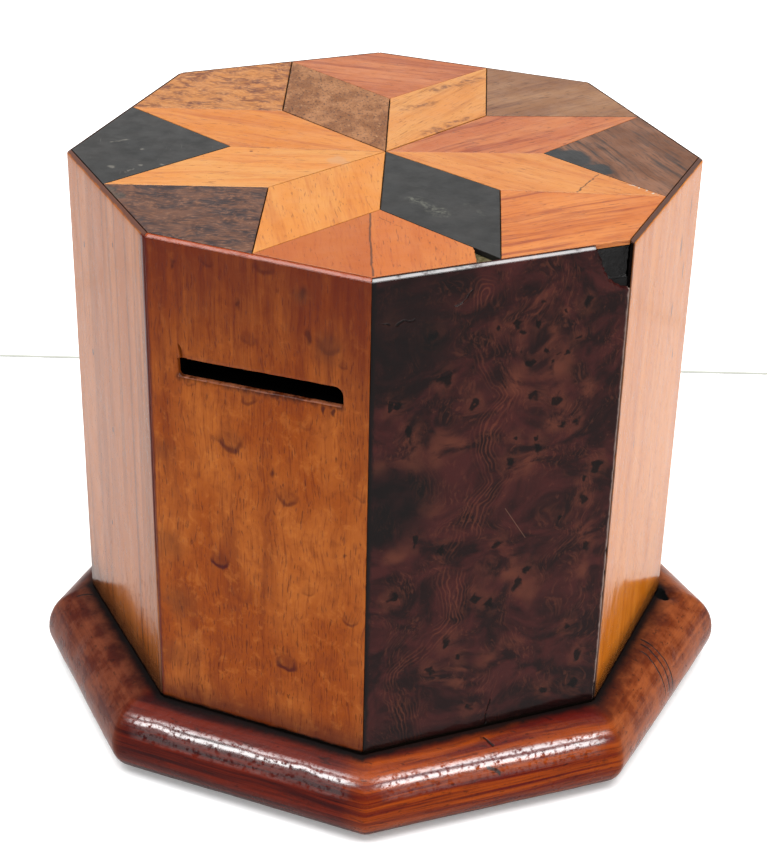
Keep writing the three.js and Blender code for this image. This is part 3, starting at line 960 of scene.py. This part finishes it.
def tulipwood():
    place, colour, strands, pores = straight_panel(
        7, "tulipwood_polished", (98, 58, 38), (160, 92, 46), (174, 106, 58),
        stripe=2.6, length=200, stripes=0.55, fibre=0.2, pore=0.12, sway=0.3, seed=3)
    along, _, up = place.parts()
    length = side_frame(7)[2]
    streaks = place.swayed(0.3, 9, 6).noise((1.5, 1.5, 90), 2, 0.5, 14)
    colour = mix(streaks.step(0.5, 0.68) * 0.4, colour, on_side(96, 54, 38))
    holes = join(along, up * 0.5).near(lower(TULIPWOOD_HOLES, 0.5))
    colour = mix(holes.step(1.3, 0.6) * 0.8, colour, on_side(60, 34, 28))
    lean = up * 0.016 + along + place.noise((2, 2, 8), 3, 0.6, 23) * 0.5
    corner = lean.step(length + 0.2, length + 0.75)
    colour = mix(corner * 0.9, colour, on_side(78, 32, 24))
    return finish_panel(place, colour, strands, pores, 0.12, foot=12.0)


SATINWOOD_SPLITS = (
    (33.5, 84, 0.6), (36.5, 78, 0.5), (31.0, 72, 0.45), (38.0, 90, 0.5), (35.0, 60, 0.4), (12.0, 52, 0.35),
)


def satinwood():
    place, colour, strands, pores = straight_panel(
        2, "satinwood_polished", (162, 84, 27), (196, 113, 40), (208, 126, 50),
        stripe=1.6, length=70, stripes=0.45, fibre=0.3, pore=0.2, sway=0.5, seed=5)
    along, inward, up = place.parts()
    splits = join(along, up * 0.22).swayed(0.5, 2, 3).near(lower(SATINWOOD_SPLITS, 0.22))
    colour = mix(splits.step(1.3, 0.3) * 0.7, colour, on_side(84, 44, 26))
    edge = (along - place.noise((1, 1, 2.6), 3, 0.7, 8) * 1.1).step(0.3, -0.2)
    colour = mix(edge * 0.8, colour, on_side(64, 40, 30))
    colour = mix(inward.step(0.12, 0.2), colour, (0.003, 0.002, 0.002))
    return finish_panel(place, colour, strands, pores, 0.1, (0.06, 0.028, 0.02))


def hidden_panel(side, name, dark, middle, light, **grain_ways):
    return finish_panel(*straight_panel(side, name, dark, middle, light, **grain_ways))


# Star woods
def worn_top(colour, place, height, rough=0.36, marks=None):
    """Thin old polish, scuffed and a little uneven, over the marks that the piece has."""
    if marks:
        colour = marks(place.finish.place(height=TOP), colour)
    scuff = place.noise(3.5, 3, 0.6, 41)
    roughness = scuff.step(0.3, 0.75) * 0.14 + rough
    relief = height + place.noise(5, 3, 0.5, 43) * 0.06
    return place.finish.surface(colour, roughness, relief.bump(), IOR=1.28)


def golden(name, angle, dark, middle, light, seed, marks=None, **ways):
    """Straight-grained veneer with small dark spots: most of the star."""
    place = Finish(name).place(STAR_CENTRE, math.radians(angle), TOP)
    dark, middle, light = on_top(*dark), on_top(*middle), on_top(*light)
    grain_ways = {"stripe": 2.2, "length": 26, "stripes": 0.42, "fibre": 0.32, "pore": 0.45, **ways}
    colour, strands, pores = wood(place, dark, middle, light, seed=seed, **grain_ways)
    spots = place.noise((0.9, 0.7, 0.7), 2, 0.6, seed + 8)
    colour = mix(spots.step(0.68, 0.76) * 0.65, colour, tuple(c * 0.3 for c in dark))
    return worn_top(colour, place, strands * 0.02 - pores * 0.02, marks=marks)


def ebony(name, seed, marks):
    finish = Finish(name)
    place = finish.place(STAR_CENTRE, 0.4 + seed, TOP)
    cloud = place.noise((9, 6, 6), 3, 0.6, seed)
    colour = mix(cloud.step(0.4, 0.7), (0.0045, 0.0045, 0.004), (0.011, 0.01, 0.009))
    turned = finish.place(STAR_CENTRE, 2.1 + seed, TOP)
    hairs = turned.swayed(0.5, 5).noise((7, 0.22, 0.22), 1, 0.5, seed + 2)
    colour = mix(hairs.step(0.72, 0.79) * 0.4, colour, on_top(150, 150, 145))
    return worn_top(colour, place, cloud * 0.02, 0.34, marks)


def smear_on_ebony(flat, colour):
    bent = flat.swayed(1.2, 2.2, 2)
    across = bent.off_line(((12.8, -21.2), (16.0, -22.6), (20.2, -25.3)))
    scraped = bent.noise(0.8, 3, 0.7, 3)
    mask = across.step(1.9, 0.3) * scraped.step(0.42, 0.6)
    second = bent.off_line(((22.5, -19.2), (26.5, -22.6))).step(0.9, 0.1) * scraped.step(0.5, 0.66)
    return mix((mask * 0.6).larger(second * 0.35), colour, on_top(150, 150, 138))


def flecks_on_ebony(flat, colour):
    bent = flat.swayed(1.0, 1.6, 6)
    spots = bent.near(((-43.5, -31.5, 0.7), (-39.0, -28.5, 0.6), (-35.5, -26.5, 0.5), (-43.0, -21.0, 0.5)))
    lines = bent.off_line(((-40.0, -32.6), (-39.2, -30.3)), ((-50.0, -20.5), (-48.0, -17.6)))
    mask = spots.step(1.2, 0.5).larger(lines.step(0.3, 0.1))
    return mix(mask * 0.55, colour, on_top(160, 155, 145))


def split_line(flat, colour):
    """The kite of two halves, with an open split from its inner point to its corner."""
    line = flat.swayed(0.25, 3, 2).off_line(((8.2, -30.0), (13.0, -41.0), (19.5, -54.5)))
    along, across, _ = flat.parts()
    left = (along * 0.912 + across * 0.41 + 4.8).step(0.4, -0.4)
    colour = mix(left * 0.55, colour, on_top(205, 118, 76))
    cut = flat.swayed(0.5, 1.5, 4).off_line(((10.5, -31.5), (15.5, -33.5)))
    colour = mix(cut.step(0.2, 0.05) * 0.5, colour, on_top(90, 55, 45))
    return mix(line.step(0.3, 0.08) * 0.7, colour, on_top(70, 42, 34))


def crack_and_specks(flat, colour):
    crack = flat.swayed(0.7, 1.6, 3).off_line(((38.9, 5.3), (38.5, 0.2), (38.2, -4.5)))
    colour = mix(crack.step(0.28, 0.07) * 0.8, colour, on_top(84, 50, 38))
    edge = flat.off_line(((45.5, 3.6), (53.3, 0.0)))
    crumbs = flat.noise(0.6, 2, 0.6, 7)
    return mix(edge.step(0.8, 0.3) * crumbs.step(0.52, 0.62), colour, on_top(250, 240, 225))


def brown_marks(flat, colour):
    lines = flat.swayed(1.8, 5, 3).off_line(
        ((-6.5, 33.5), (-3.1, 39.9), (-1.0, 45.0)), ((6.5, 22.0), (4.2, 16.1), (2.3, 10.2)),
        ((-7.0, 22.0), (-3.5, 27.0)))
    crumb = flat.noise(1.6, 3, 0.65, 5)
    mask = lines.step(2.2, 0.5) * crumb.step(0.35, 0.65)
    return mix(mask * 0.8, colour, on_top(142, 96, 62))


def pale_patch(flat, colour):
    spot = flat.swayed(0.8, 2, 3).near(((-7.5, -10.0, 2.2), (-5.0, -10.8, 1.4)))
    colour = mix(spot.step(1.1, 0.6) * 0.5, colour, on_top(235, 185, 145))
    dots = flat.near(((-22.0, -9.8, 0.5), (-31.0, -9.2, 0.35), (-24.0, -13.0, 0.35)))
    return mix(dots.step(1.3, 0.6) * 0.8, colour, on_top(120, 70, 40))


def speckled(name):
    """The brown rhomb, dull and full of dark specks and short cracks."""
    place = Finish(name).place(STAR_CENTRE, math.radians(118), TOP)
    cloud = place.noise((6, 4, 4), 3, 0.6, 3)
    colour = mix(cloud.step(0.38, 0.66), on_top(168, 120, 92), on_top(206, 150, 112))
    specks = place.noise((0.9, 0.55, 0.55), 3, 0.65, 5)
    colour = mix(specks.step(0.5, 0.68) * 0.7, colour, on_top(96, 68, 54))
    bright = place.noise(0.8, 2, 0.6, 9)
    colour = mix(bright.step(0.6, 0.72) * 0.5, colour, on_top(236, 186, 142))
    cracks = place.swayed(1.0, 2.5, 4).noise((4.5, 0.35, 0.35), 2, 0.6, 11)
    colour = mix(cracks.step(0.66, 0.74) * 0.8, colour, on_top(72, 50, 42))
    return worn_top(colour, place, specks * -0.08 - cracks * 0.03, 0.5)


def mottled_burr(name, seed, angle, dark, middle, light, lengths, marks=None):
    place = Finish(name).place(STAR_CENTRE, math.radians(angle), TOP)
    dark, middle, light = on_top(*dark), on_top(*middle), on_top(*light)
    bent = place.swayed(2.4, 6, seed)
    slow = bent.noise(lengths, 2, 0.5, seed + 1)
    fine = bent.noise(tuple(c * 0.22 for c in lengths), 3, 0.6, seed + 2)
    colour = mix((slow * 0.6 + fine * 0.4).step(0.36, 0.6), dark, middle)
    colour = mix(fine.step(0.5, 0.72) * 0.6, colour, light)
    specks = place.noise((0.8, 0.6, 0.6), 2, 0.6, seed + 5)
    colour = mix(specks.step(0.64, 0.74) * 0.6, colour, tuple(c * 0.4 for c in dark))
    return worn_top(colour, place, fine * 0.05, marks=marks)


def grey_spot(flat, colour):
    bent = flat.swayed(1.0, 1.5, 3)
    spot = bent.near(((-38.4, -41.6, 1.7), (-35.6, -43.2, 1.5)))
    grit = flat.noise(0.7, 3, 0.7, 6)
    colour = mix(spot.step(1.2, 0.7) * 0.75, colour, on_top(122, 110, 100))
    return mix(spot.step(1.3, 0.8) * grit.step(0.5, 0.62) * 0.8, colour, on_top(72, 62, 56))


def streaked_rosewood(name):
    """Dark streaks across the kite, and its black inner corner."""
    place = Finish(name).place(STAR_CENTRE, math.radians(-44), TOP)
    colour, strands, _ = wood(place, on_top(72, 56, 50), on_top(142, 104, 86), on_top(170, 126, 104),
                              stripe=1.5, length=20, stripes=0.9, fibre=0.5, pore=0.5, sway=1.5, seed=12)
    return worn_top(colour, place, strands * 0.03, marks=black_corner)


def black_corner(flat, colour):
    corner = flat.swayed(1.2, 3, 5).near(((25.5, 10.8, 5.0), (31.0, 10.0, 5.2), (38.0, 7.6, 2.8)))
    return mix(corner.step(1.1, 0.85), colour, (0.008, 0.008, 0.008))


# Carcass and base
def softwood(name, dark, middle, light):
    place = Finish(name).place()
    woods = [linear(*colour) for colour in (dark, middle, light)]
    colour, strands, _ = wood(place, *woods, stripe=2.4, length=60)
    return place, colour, strands


def black_glue(place):
    """Where the burr veneer has lost its corner, the ground is black with old glue."""
    corner = place.vector("DISTANCE", (STAR_RING[2].x, STAR_RING[2].y, TOP - 4), 1)
    return corner.step(12.5, 11)


SIDE_BOARD_WOODS = ((52, 38, 28), (84, 64, 46), (100, 78, 56))


def side_board_material():
    place, colour, strands = softwood("side_boards_bare", *SIDE_BOARD_WOODS)
    colour = mix(black_glue(place), colour, (0.002, 0.0015, 0.0015))
    return place.finish.surface(colour, 0.8, (strands * 0.05).bump(), IOR=1.2)


def slotted_board_material():
    """Black round the slot, and without sheen."""
    place, colour, strands = softwood("slotted_board_bare", *SIDE_BOARD_WOODS)
    along, _, up = panel_place(place.finish, 0).parts()
    off_ends = (along - side_frame(0)[2] / 2).unsigned() - SLOT_LENGTH / 2
    off_edges = (up - SLOT_RISE).unsigned() - SLOT_WIDTH / 2
    colour = mix(off_ends.larger(off_edges).step(3.5, 2.5), colour, (0.0012, 0.001, 0.0009))
    return place.finish.surface(colour, 0.95, (strands * 0.05).bump(), **{"Specular IOR Level": 0.0})


def top_board_material():
    """Bare wood, black glue in the lost corner, grey dirt where the kite has lost its point."""
    place, colour, _ = softwood("top_board_bare", (42, 32, 26), (62, 48, 36), (76, 58, 44))
    black = black_glue(place)
    colour = mix(black, colour, (0.0015, 0.001, 0.001))
    lost = place.vector("DISTANCE", (star_point(1).x, star_point(1).y, TOP - 1), 1)
    grit = place.noise(0.8, 3, 0.65, 5)
    grey = mix(grit.step(0.4, 0.66), on_top(118, 112, 92), on_top(156, 146, 120))
    colour = mix(lost.step(9.5, 8.5), colour, grey)
    height = place.noise(1.1, 3, 0.6, 7)
    return place.finish.surface(colour, 0.75 - black * 0.4, (height * 0.35).bump(), IOR=1.2)


BASE_CRACKS = (
    ((56.2, 3.0), (60.0, 2.4), (64.8, 1.5)), ((56.9, 1.4), (60.5, 0.6), (65.2, -0.4)),
    ((57.6, -0.6), (61.0, -1.6), (64.0, -2.6)), ((-53.7, -31.0), (-56.6, -32.0)),
    ((38.5, -40.7), (40.7, -41.1)), ((41.0, -44.6), (43.2, -43.4)),
)
BASE_PIT = ((55.6, 20.6, 1.5), (55.0, 21.6, 1.2))


def mahogany():
    """Straight-grained board under a thick old polish, dull with dirt and painted shade beside the body, with
    painted shade towards its lower edge and in its pit.
    """
    place = Finish("mahogany_polished").place()
    along, across, up = place.parts()
    layered = join(along, across * 0.35, up * 2.4).swayed(2.2, 30, 3)
    bands = layered.noise((44, 20, 2.6), 3, 0.6, 1)
    strands = layered.noise((12, 2.6, 0.8), 3, 0.6, 2)
    flecks = place.swayed(0.5, 3).noise((3.2, 1.6, 0.5), 2, 0.6, 4)
    cloud = place.noise(5, 3, 0.6, 8)
    red = mix(bands.step(0.34, 0.66), on_side(60, 21, 9), on_side(108, 44, 18))
    orange = mix(bands.step(0.34, 0.64), on_side(98, 39, 15), on_side(160, 74, 27))
    faded = cloud * 0.6 + bands * 0.4
    pink = mix(faded.step(0.36, 0.62), on_side(84, 42, 32), on_side(122, 68, 50))
    warm = mix(faded.step(0.36, 0.6), on_side(112, 54, 32), on_side(162, 88, 52))
    pink = mix(along.step(-10, 10), pink, warm)
    ground = join(along, across)
    front_left = out_from(ground, BASE_RING, (0,))
    front_right = out_from(ground, BASE_RING, (1,))
    front = front_left.larger(front_right) - out_from(ground, BASE_RING, (2, 3, 4, 5, 6, 7))
    at_front = front.step(-1.5, 1.5)
    to_right = front_right - front_left + place.noise(5, 2, 0.5, 6) * 3
    colour = mix(to_right.step(-2.5, 2.5), red, orange)
    colour = mix(at_front, pink, colour)
    colour = mix(strands.step(0.5, 0.7) * (at_front * 0.2 + 0.3), colour, on_side(62, 26, 18))
    colour = mix(flecks.step(0.6, 0.72) * 0.55, colour, on_side(40, 18, 14))
    blots = place.noise(2.6, 4, 0.65, 18)
    colour = mix(blots.step(0.54, 0.76) * 0.35, colour, on_side(56, 26, 20))
    # Painted shade: darker towards the base's lower edge, which faces down
    low = up.step(6.5, 0.5)
    colour = mix(low * 0.6, colour, on_side(36, 15, 11))
    gap = out_from(ground, BODY_RING, range(8))
    # Dirt with painted shade beside the body: a dark band on the base's top
    soiled_and_shaded = (gap + cloud * 4 + at_front * 2.2).step(7.5, 2.5)
    colour = mix(soiled_and_shaded * (0.72 - at_front * 0.3), colour, on_side(46, 28, 26))
    shadow = (gap + blots * 1.6).step(3.0, 1.1)
    colour = mix(shadow * 0.95, colour, (0.002, 0.0015, 0.0015))
    flat = ground.swayed(0.5, 2.5, 5)
    crack = flat.off_line(*BASE_CRACKS).step(0.3, 0.1) * up.step(7, 9)
    colour = mix(crack * 0.9, colour, on_side(22, 12, 10))
    # Painted shade: the pit is coloured black and left without gloss
    pit = flat.near(BASE_PIT)
    shaded_pit = pit.step(1.25, 0.9) * up.step(13, 14)
    colour = mix(shaded_pit, colour, (0.0003, 0.0003, 0.0003))
    roughness = (soiled_and_shaded * 0.4).larger(shaded_pit) + cloud.step(0.35, 0.75) * 0.1 + 0.26
    fine = place.noise(0.9, 3, 0.65, 12)
    height = place.noise(11, 2, 0.5, 11) * 0.16 + fine * 0.075
    height = height - strands * 0.02 - crack * 0.15 - blots * soiled_and_shaded * 0.1
    ends = ground.near([(corner.x, corner.y, 5.0) for corner in BASE_RING[:3]])
    coat = up.step(9.8, 11.0) * up.step(14.4, 13.4) * at_front * ends.step(0.5, 1.3) * fine.step(0.34, 0.54)
    return place.finish.surface(colour, roughness, height.bump(), coat, **BASE_POLISH)


# Building the box
camera_at_the_photographs_place()

SIDE_WOODS = (
    ("birds_eye_maple", maple()),
    ("dark_burr", burr()),
    ("satinwood", satinwood()),
    ("walnut", hidden_panel(3, "walnut_polished", (60, 38, 26), (104, 68, 44), (128, 88, 58),
                            stripe=3.4, length=26, stripes=0.7, fibre=0.4, pore=0.5, sway=2.6, seed=21)),
    ("yew", hidden_panel(4, "yew_polished", (128, 66, 32), (176, 104, 54), (202, 134, 78),
                         stripe=3.0, length=60, stripes=0.6, fibre=0.3, pore=0.15, sway=1.6, seed=23)),
    ("rosewood", hidden_panel(5, "rosewood_polished", (34, 20, 18), (86, 48, 34), (108, 62, 42),
                              stripe=2.0, length=50, stripes=0.9, fibre=0.4, pore=0.5, sway=1.4, seed=25)),
    ("mahogany", hidden_panel(6, "mahogany_side_polished", (92, 40, 24), (134, 62, 36), (156, 80, 48),
                              stripe=2.4, length=80, stripes=0.4, fibre=0.4, pore=0.5, sway=0.8, seed=27)),
    ("tulipwood", tulipwood()),
)
veneers = [side_veneer(side, material) for side, (slot, material) in enumerate(SIDE_WOODS)]
cut_away(veneers[0], *knife_through_side(0, slot_outline(), SLOT_FLARE))
cut_away(veneers[0], *knife_through_side(0, TEAR, TEAR_FLARE))
cut_away(veneers[1], *knife_through_side(1, lost_corner_outline(), LOST_CORNER_FLARE))

RHOMB_WOODS = (
    ("golden_veneer", golden("rhomb_front_wood", -60, (214, 126, 66), (252, 166, 96), (255, 178, 108), 2)),
    ("ebony", ebony("rhomb_front_right_wood", 1, smear_on_ebony)),
    ("golden_veneer", golden("rhomb_right_wood", -8, (206, 120, 64), (246, 164, 104), (252, 176, 114), 4,
                             crack_and_specks)),
    ("red_veneer", golden("rhomb_back_right_wood", 60, (158, 88, 62), (222, 138, 100), (234, 154, 110), 6,
                          stripes=0.7, stripe=1.6, pore=0.5)),
    ("golden_veneer", golden("rhomb_back_wood", 80, (200, 128, 76), (248, 170, 106), (252, 182, 118), 8,
                             brown_marks)),
    ("speckled_veneer", speckled("rhomb_back_left_wood")),
    ("golden_veneer", golden("rhomb_left_wood", 4, (190, 104, 56), (246, 158, 92), (252, 170, 104), 10)),
    ("golden_veneer", golden("rhomb_front_left_wood", 24, (212, 124, 68), (255, 172, 104), (255, 184, 116),
                             14, pale_patch)),
)
KITE_WOODS = (
    ("dark_burr", mottled_burr("kite_front_left_wood", 3, 20, (92, 70, 66), (138, 104, 90), (176, 132, 108),
                               (6, 2.8, 2.8), grey_spot)),
    ("red_veneer", golden("kite_front_wood", -62, (186, 102, 64), (232, 140, 90), (242, 154, 98), 16,
                          split_line, stripes=0.2)),
    ("red_veneer", golden("kite_front_right_wood", 48, (172, 94, 60), (238, 146, 92), (252, 164, 104), 18,
                          stripes=0.75, stripe=1.5, fibre=0.4)),
    ("streaked_rosewood", streaked_rosewood("kite_right_wood")),
    ("grey_walnut", golden("kite_back_right_wood", 60, (118, 86, 66), (174, 130, 102), (192, 148, 116), 20,
                           stripes=0.55, pore=0.6, fibre=0.4)),
    ("red_veneer", golden("kite_back_wood", 8, (160, 90, 64), (220, 138, 100), (234, 154, 112), 22,
                          stripes=0.6, pore=0.5)),
    ("golden_burr", mottled_burr("kite_back_left_wood", 7, 10, (150, 100, 68), (230, 158, 102),
                                 (252, 186, 124), (5, 2.4, 2.4))),
    ("ebony", ebony("kite_left_wood", 3, flecks_on_ebony)),
)
# How far each edge of a piece stands back, which makes the joint: a rhomb's four edges run from the middle
RHOMB_JOINTS = (0.08,) * 4
LOOSE_RHOMB_JOINTS = (0.11, 0.11, 0.17, 0.17)
KITE_JOINTS = (0.06, 0.12, 0.12, 0.06)
BROKEN_EDGE_JOINT = 0.03
LIFTS = random.Random(5)
LIFT_FROM, LIFT_TO = -0.06, 0.03

for side, name in enumerate(SIDES):
    slot, material = RHOMB_WOODS[side]
    outline = [STAR_CENTRE, waist_point(side), star_point(side), waist_point(side + 1)]
    joints = LOOSE_RHOMB_JOINTS if name == "back_left" else RHOMB_JOINTS
    lift = LIFTS.uniform(LIFT_FROM, LIFT_TO)
    star_veneer("rhomb_" + name, outline, joints, lift, material, "star_rhomb_" + name)
    slot, material = KITE_WOODS[side]
    outline = [waist_point(side), star_point(side - 1), STAR_RING[side], star_point(side)]
    joints = KITE_JOINTS
    if side == 1:
        outline = broken_kite_outline(side)
        joints = (*KITE_JOINTS[:3], *[BROKEN_EDGE_JOINT] * (len(outline) - 4), KITE_JOINTS[3])
    lift = LIFTS.uniform(LIFT_FROM, LIFT_TO)
    corner = f"kite_{SIDES[side - 1]}_to_{name}"
    star_veneer(corner, outline, joints, lift, material, "corner_" + corner)
base_board(mahogany())
top_board(top_board_material())

plain, slotted = side_board_material(), slotted_board_material()
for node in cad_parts:
    if node.startswith("side_board"):
        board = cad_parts[node].data
        board.materials.clear()
        board.materials.append(slotted if node == "side_board_front" else plain)

# Room: a white floor, a thin grey strip painted as the shadow line at the sheet's far edge, light overhead
# and two windows in front
FLOOR_REACH = 2.5
FLOOR_COLOUR, FLOOR_GLOW = (0.9, 0.9, 0.9), 0.15
LINE_FROM, LINE_TO = 0.1326, 0.1337
LINE_REACH, LINE_HEIGHT, LINE_COLOUR = 2.0, 0.0002, (0.36, 0.37, 0.33)
STRIPS_AWAY = {"near_strip": -0.44, "far_strip": -0.08}
STRIP_HEIGHT, STRIP_SIZE, STRIP_RADIANCE = 1.1, (1.3, 0.22), 11
# Windows: how far away, how high, and the rise that tilts them
WINDOWS = {"upper_window": (-0.4, 0.63, -0.157), "lower_window": (-0.6, 0.47, -0.1)}
WINDOW_OFF_MIDDLE, WINDOW_SIZE, WINDOW_RADIANCE = 0.047, (1.7, 0.15), 21
AWAY = Vector((-math.sin(CAMERA_TURN), math.cos(CAMERA_TURN), 0))
ACROSS = Vector((math.cos(CAMERA_TURN), math.sin(CAMERA_TURN), 0))
LIGHTS_AIM = Vector((0, 0, 0.05))


def stage_sheet(name, near_edge, far_edge, half_width, height, colour, **uniform):
    corners = [AWAY * away + ACROSS * across for away, across in (
        (near_edge, -half_width), (near_edge, half_width), (far_edge, half_width), (far_edge, -half_width))]
    mesh = bpy.data.meshes.new(name)
    mesh.from_pydata([(c.x, c.y, height) for c in corners], [], [(0, 1, 2, 3)])
    mesh.update()
    sheet = bpy.data.objects.new(name, mesh)
    bpy.context.scene.collection.objects.link(sheet)
    mesh.materials.append(Finish(name).surface(colour, 0.9, **uniform, **{"Specular IOR Level": 0.1}))


def strip_light(name, centre, size, radiance, tilt=0.0):
    """A soft rectangular lamp of a given brightness, its longer edge across the view and tilted by a rise."""
    width, depth = size
    data = bpy.data.lights.new(name, "AREA")
    data.shape = "RECTANGLE"
    data.size, data.size_y = width, depth
    data.energy = radiance * math.pi * width * depth
    lamp = bpy.data.objects.new(name, data)
    back = (centre - LIGHTS_AIM).normalized()
    side = ACROSS + Vector((0, 0, tilt))
    side = (side - back * side.dot(back)).normalized()
    turned = Matrix((side, back.cross(side), back)).transposed().to_4x4()
    lamp.matrix_world = Matrix.Translation(centre) @ turned
    bpy.context.scene.collection.objects.link(lamp)
    return lamp


stage_sheet("floor", -FLOOR_REACH, FLOOR_REACH, FLOOR_REACH, 0.0, FLOOR_COLOUR,
            **{"Emission Color": (1.0, 1.0, 1.0), "Emission Strength": FLOOR_GLOW})
# Painted shadow: the grey strip stands for the shaded line along the sheet's far edge
stage_sheet("floor_line", LINE_FROM, LINE_TO, LINE_REACH, LINE_HEIGHT, LINE_COLOUR)
for name, away in STRIPS_AWAY.items():
    strip_light(name, AWAY * away + Vector((0, 0, STRIP_HEIGHT)), STRIP_SIZE, STRIP_RADIANCE)
for name, (away, height, tilt) in WINDOWS.items():
    centre = AWAY * away - ACROSS * WINDOW_OFF_MIDDLE + Vector((0, 0, height))
    window = strip_light(name, centre, WINDOW_SIZE, WINDOW_RADIANCE, tilt)
    window.visible_diffuse = False
world = bpy.data.worlds.new("room")
bpy.context.scene.world = world
world.use_nodes = True
world.node_tree.nodes["Background"].inputs["Color"].default_value = (1, 1, 1, 1)
world.node_tree.nodes["Background"].inputs["Strength"].default_value = 1.0
bpy.context.scene.view_settings.view_transform = "Standard"
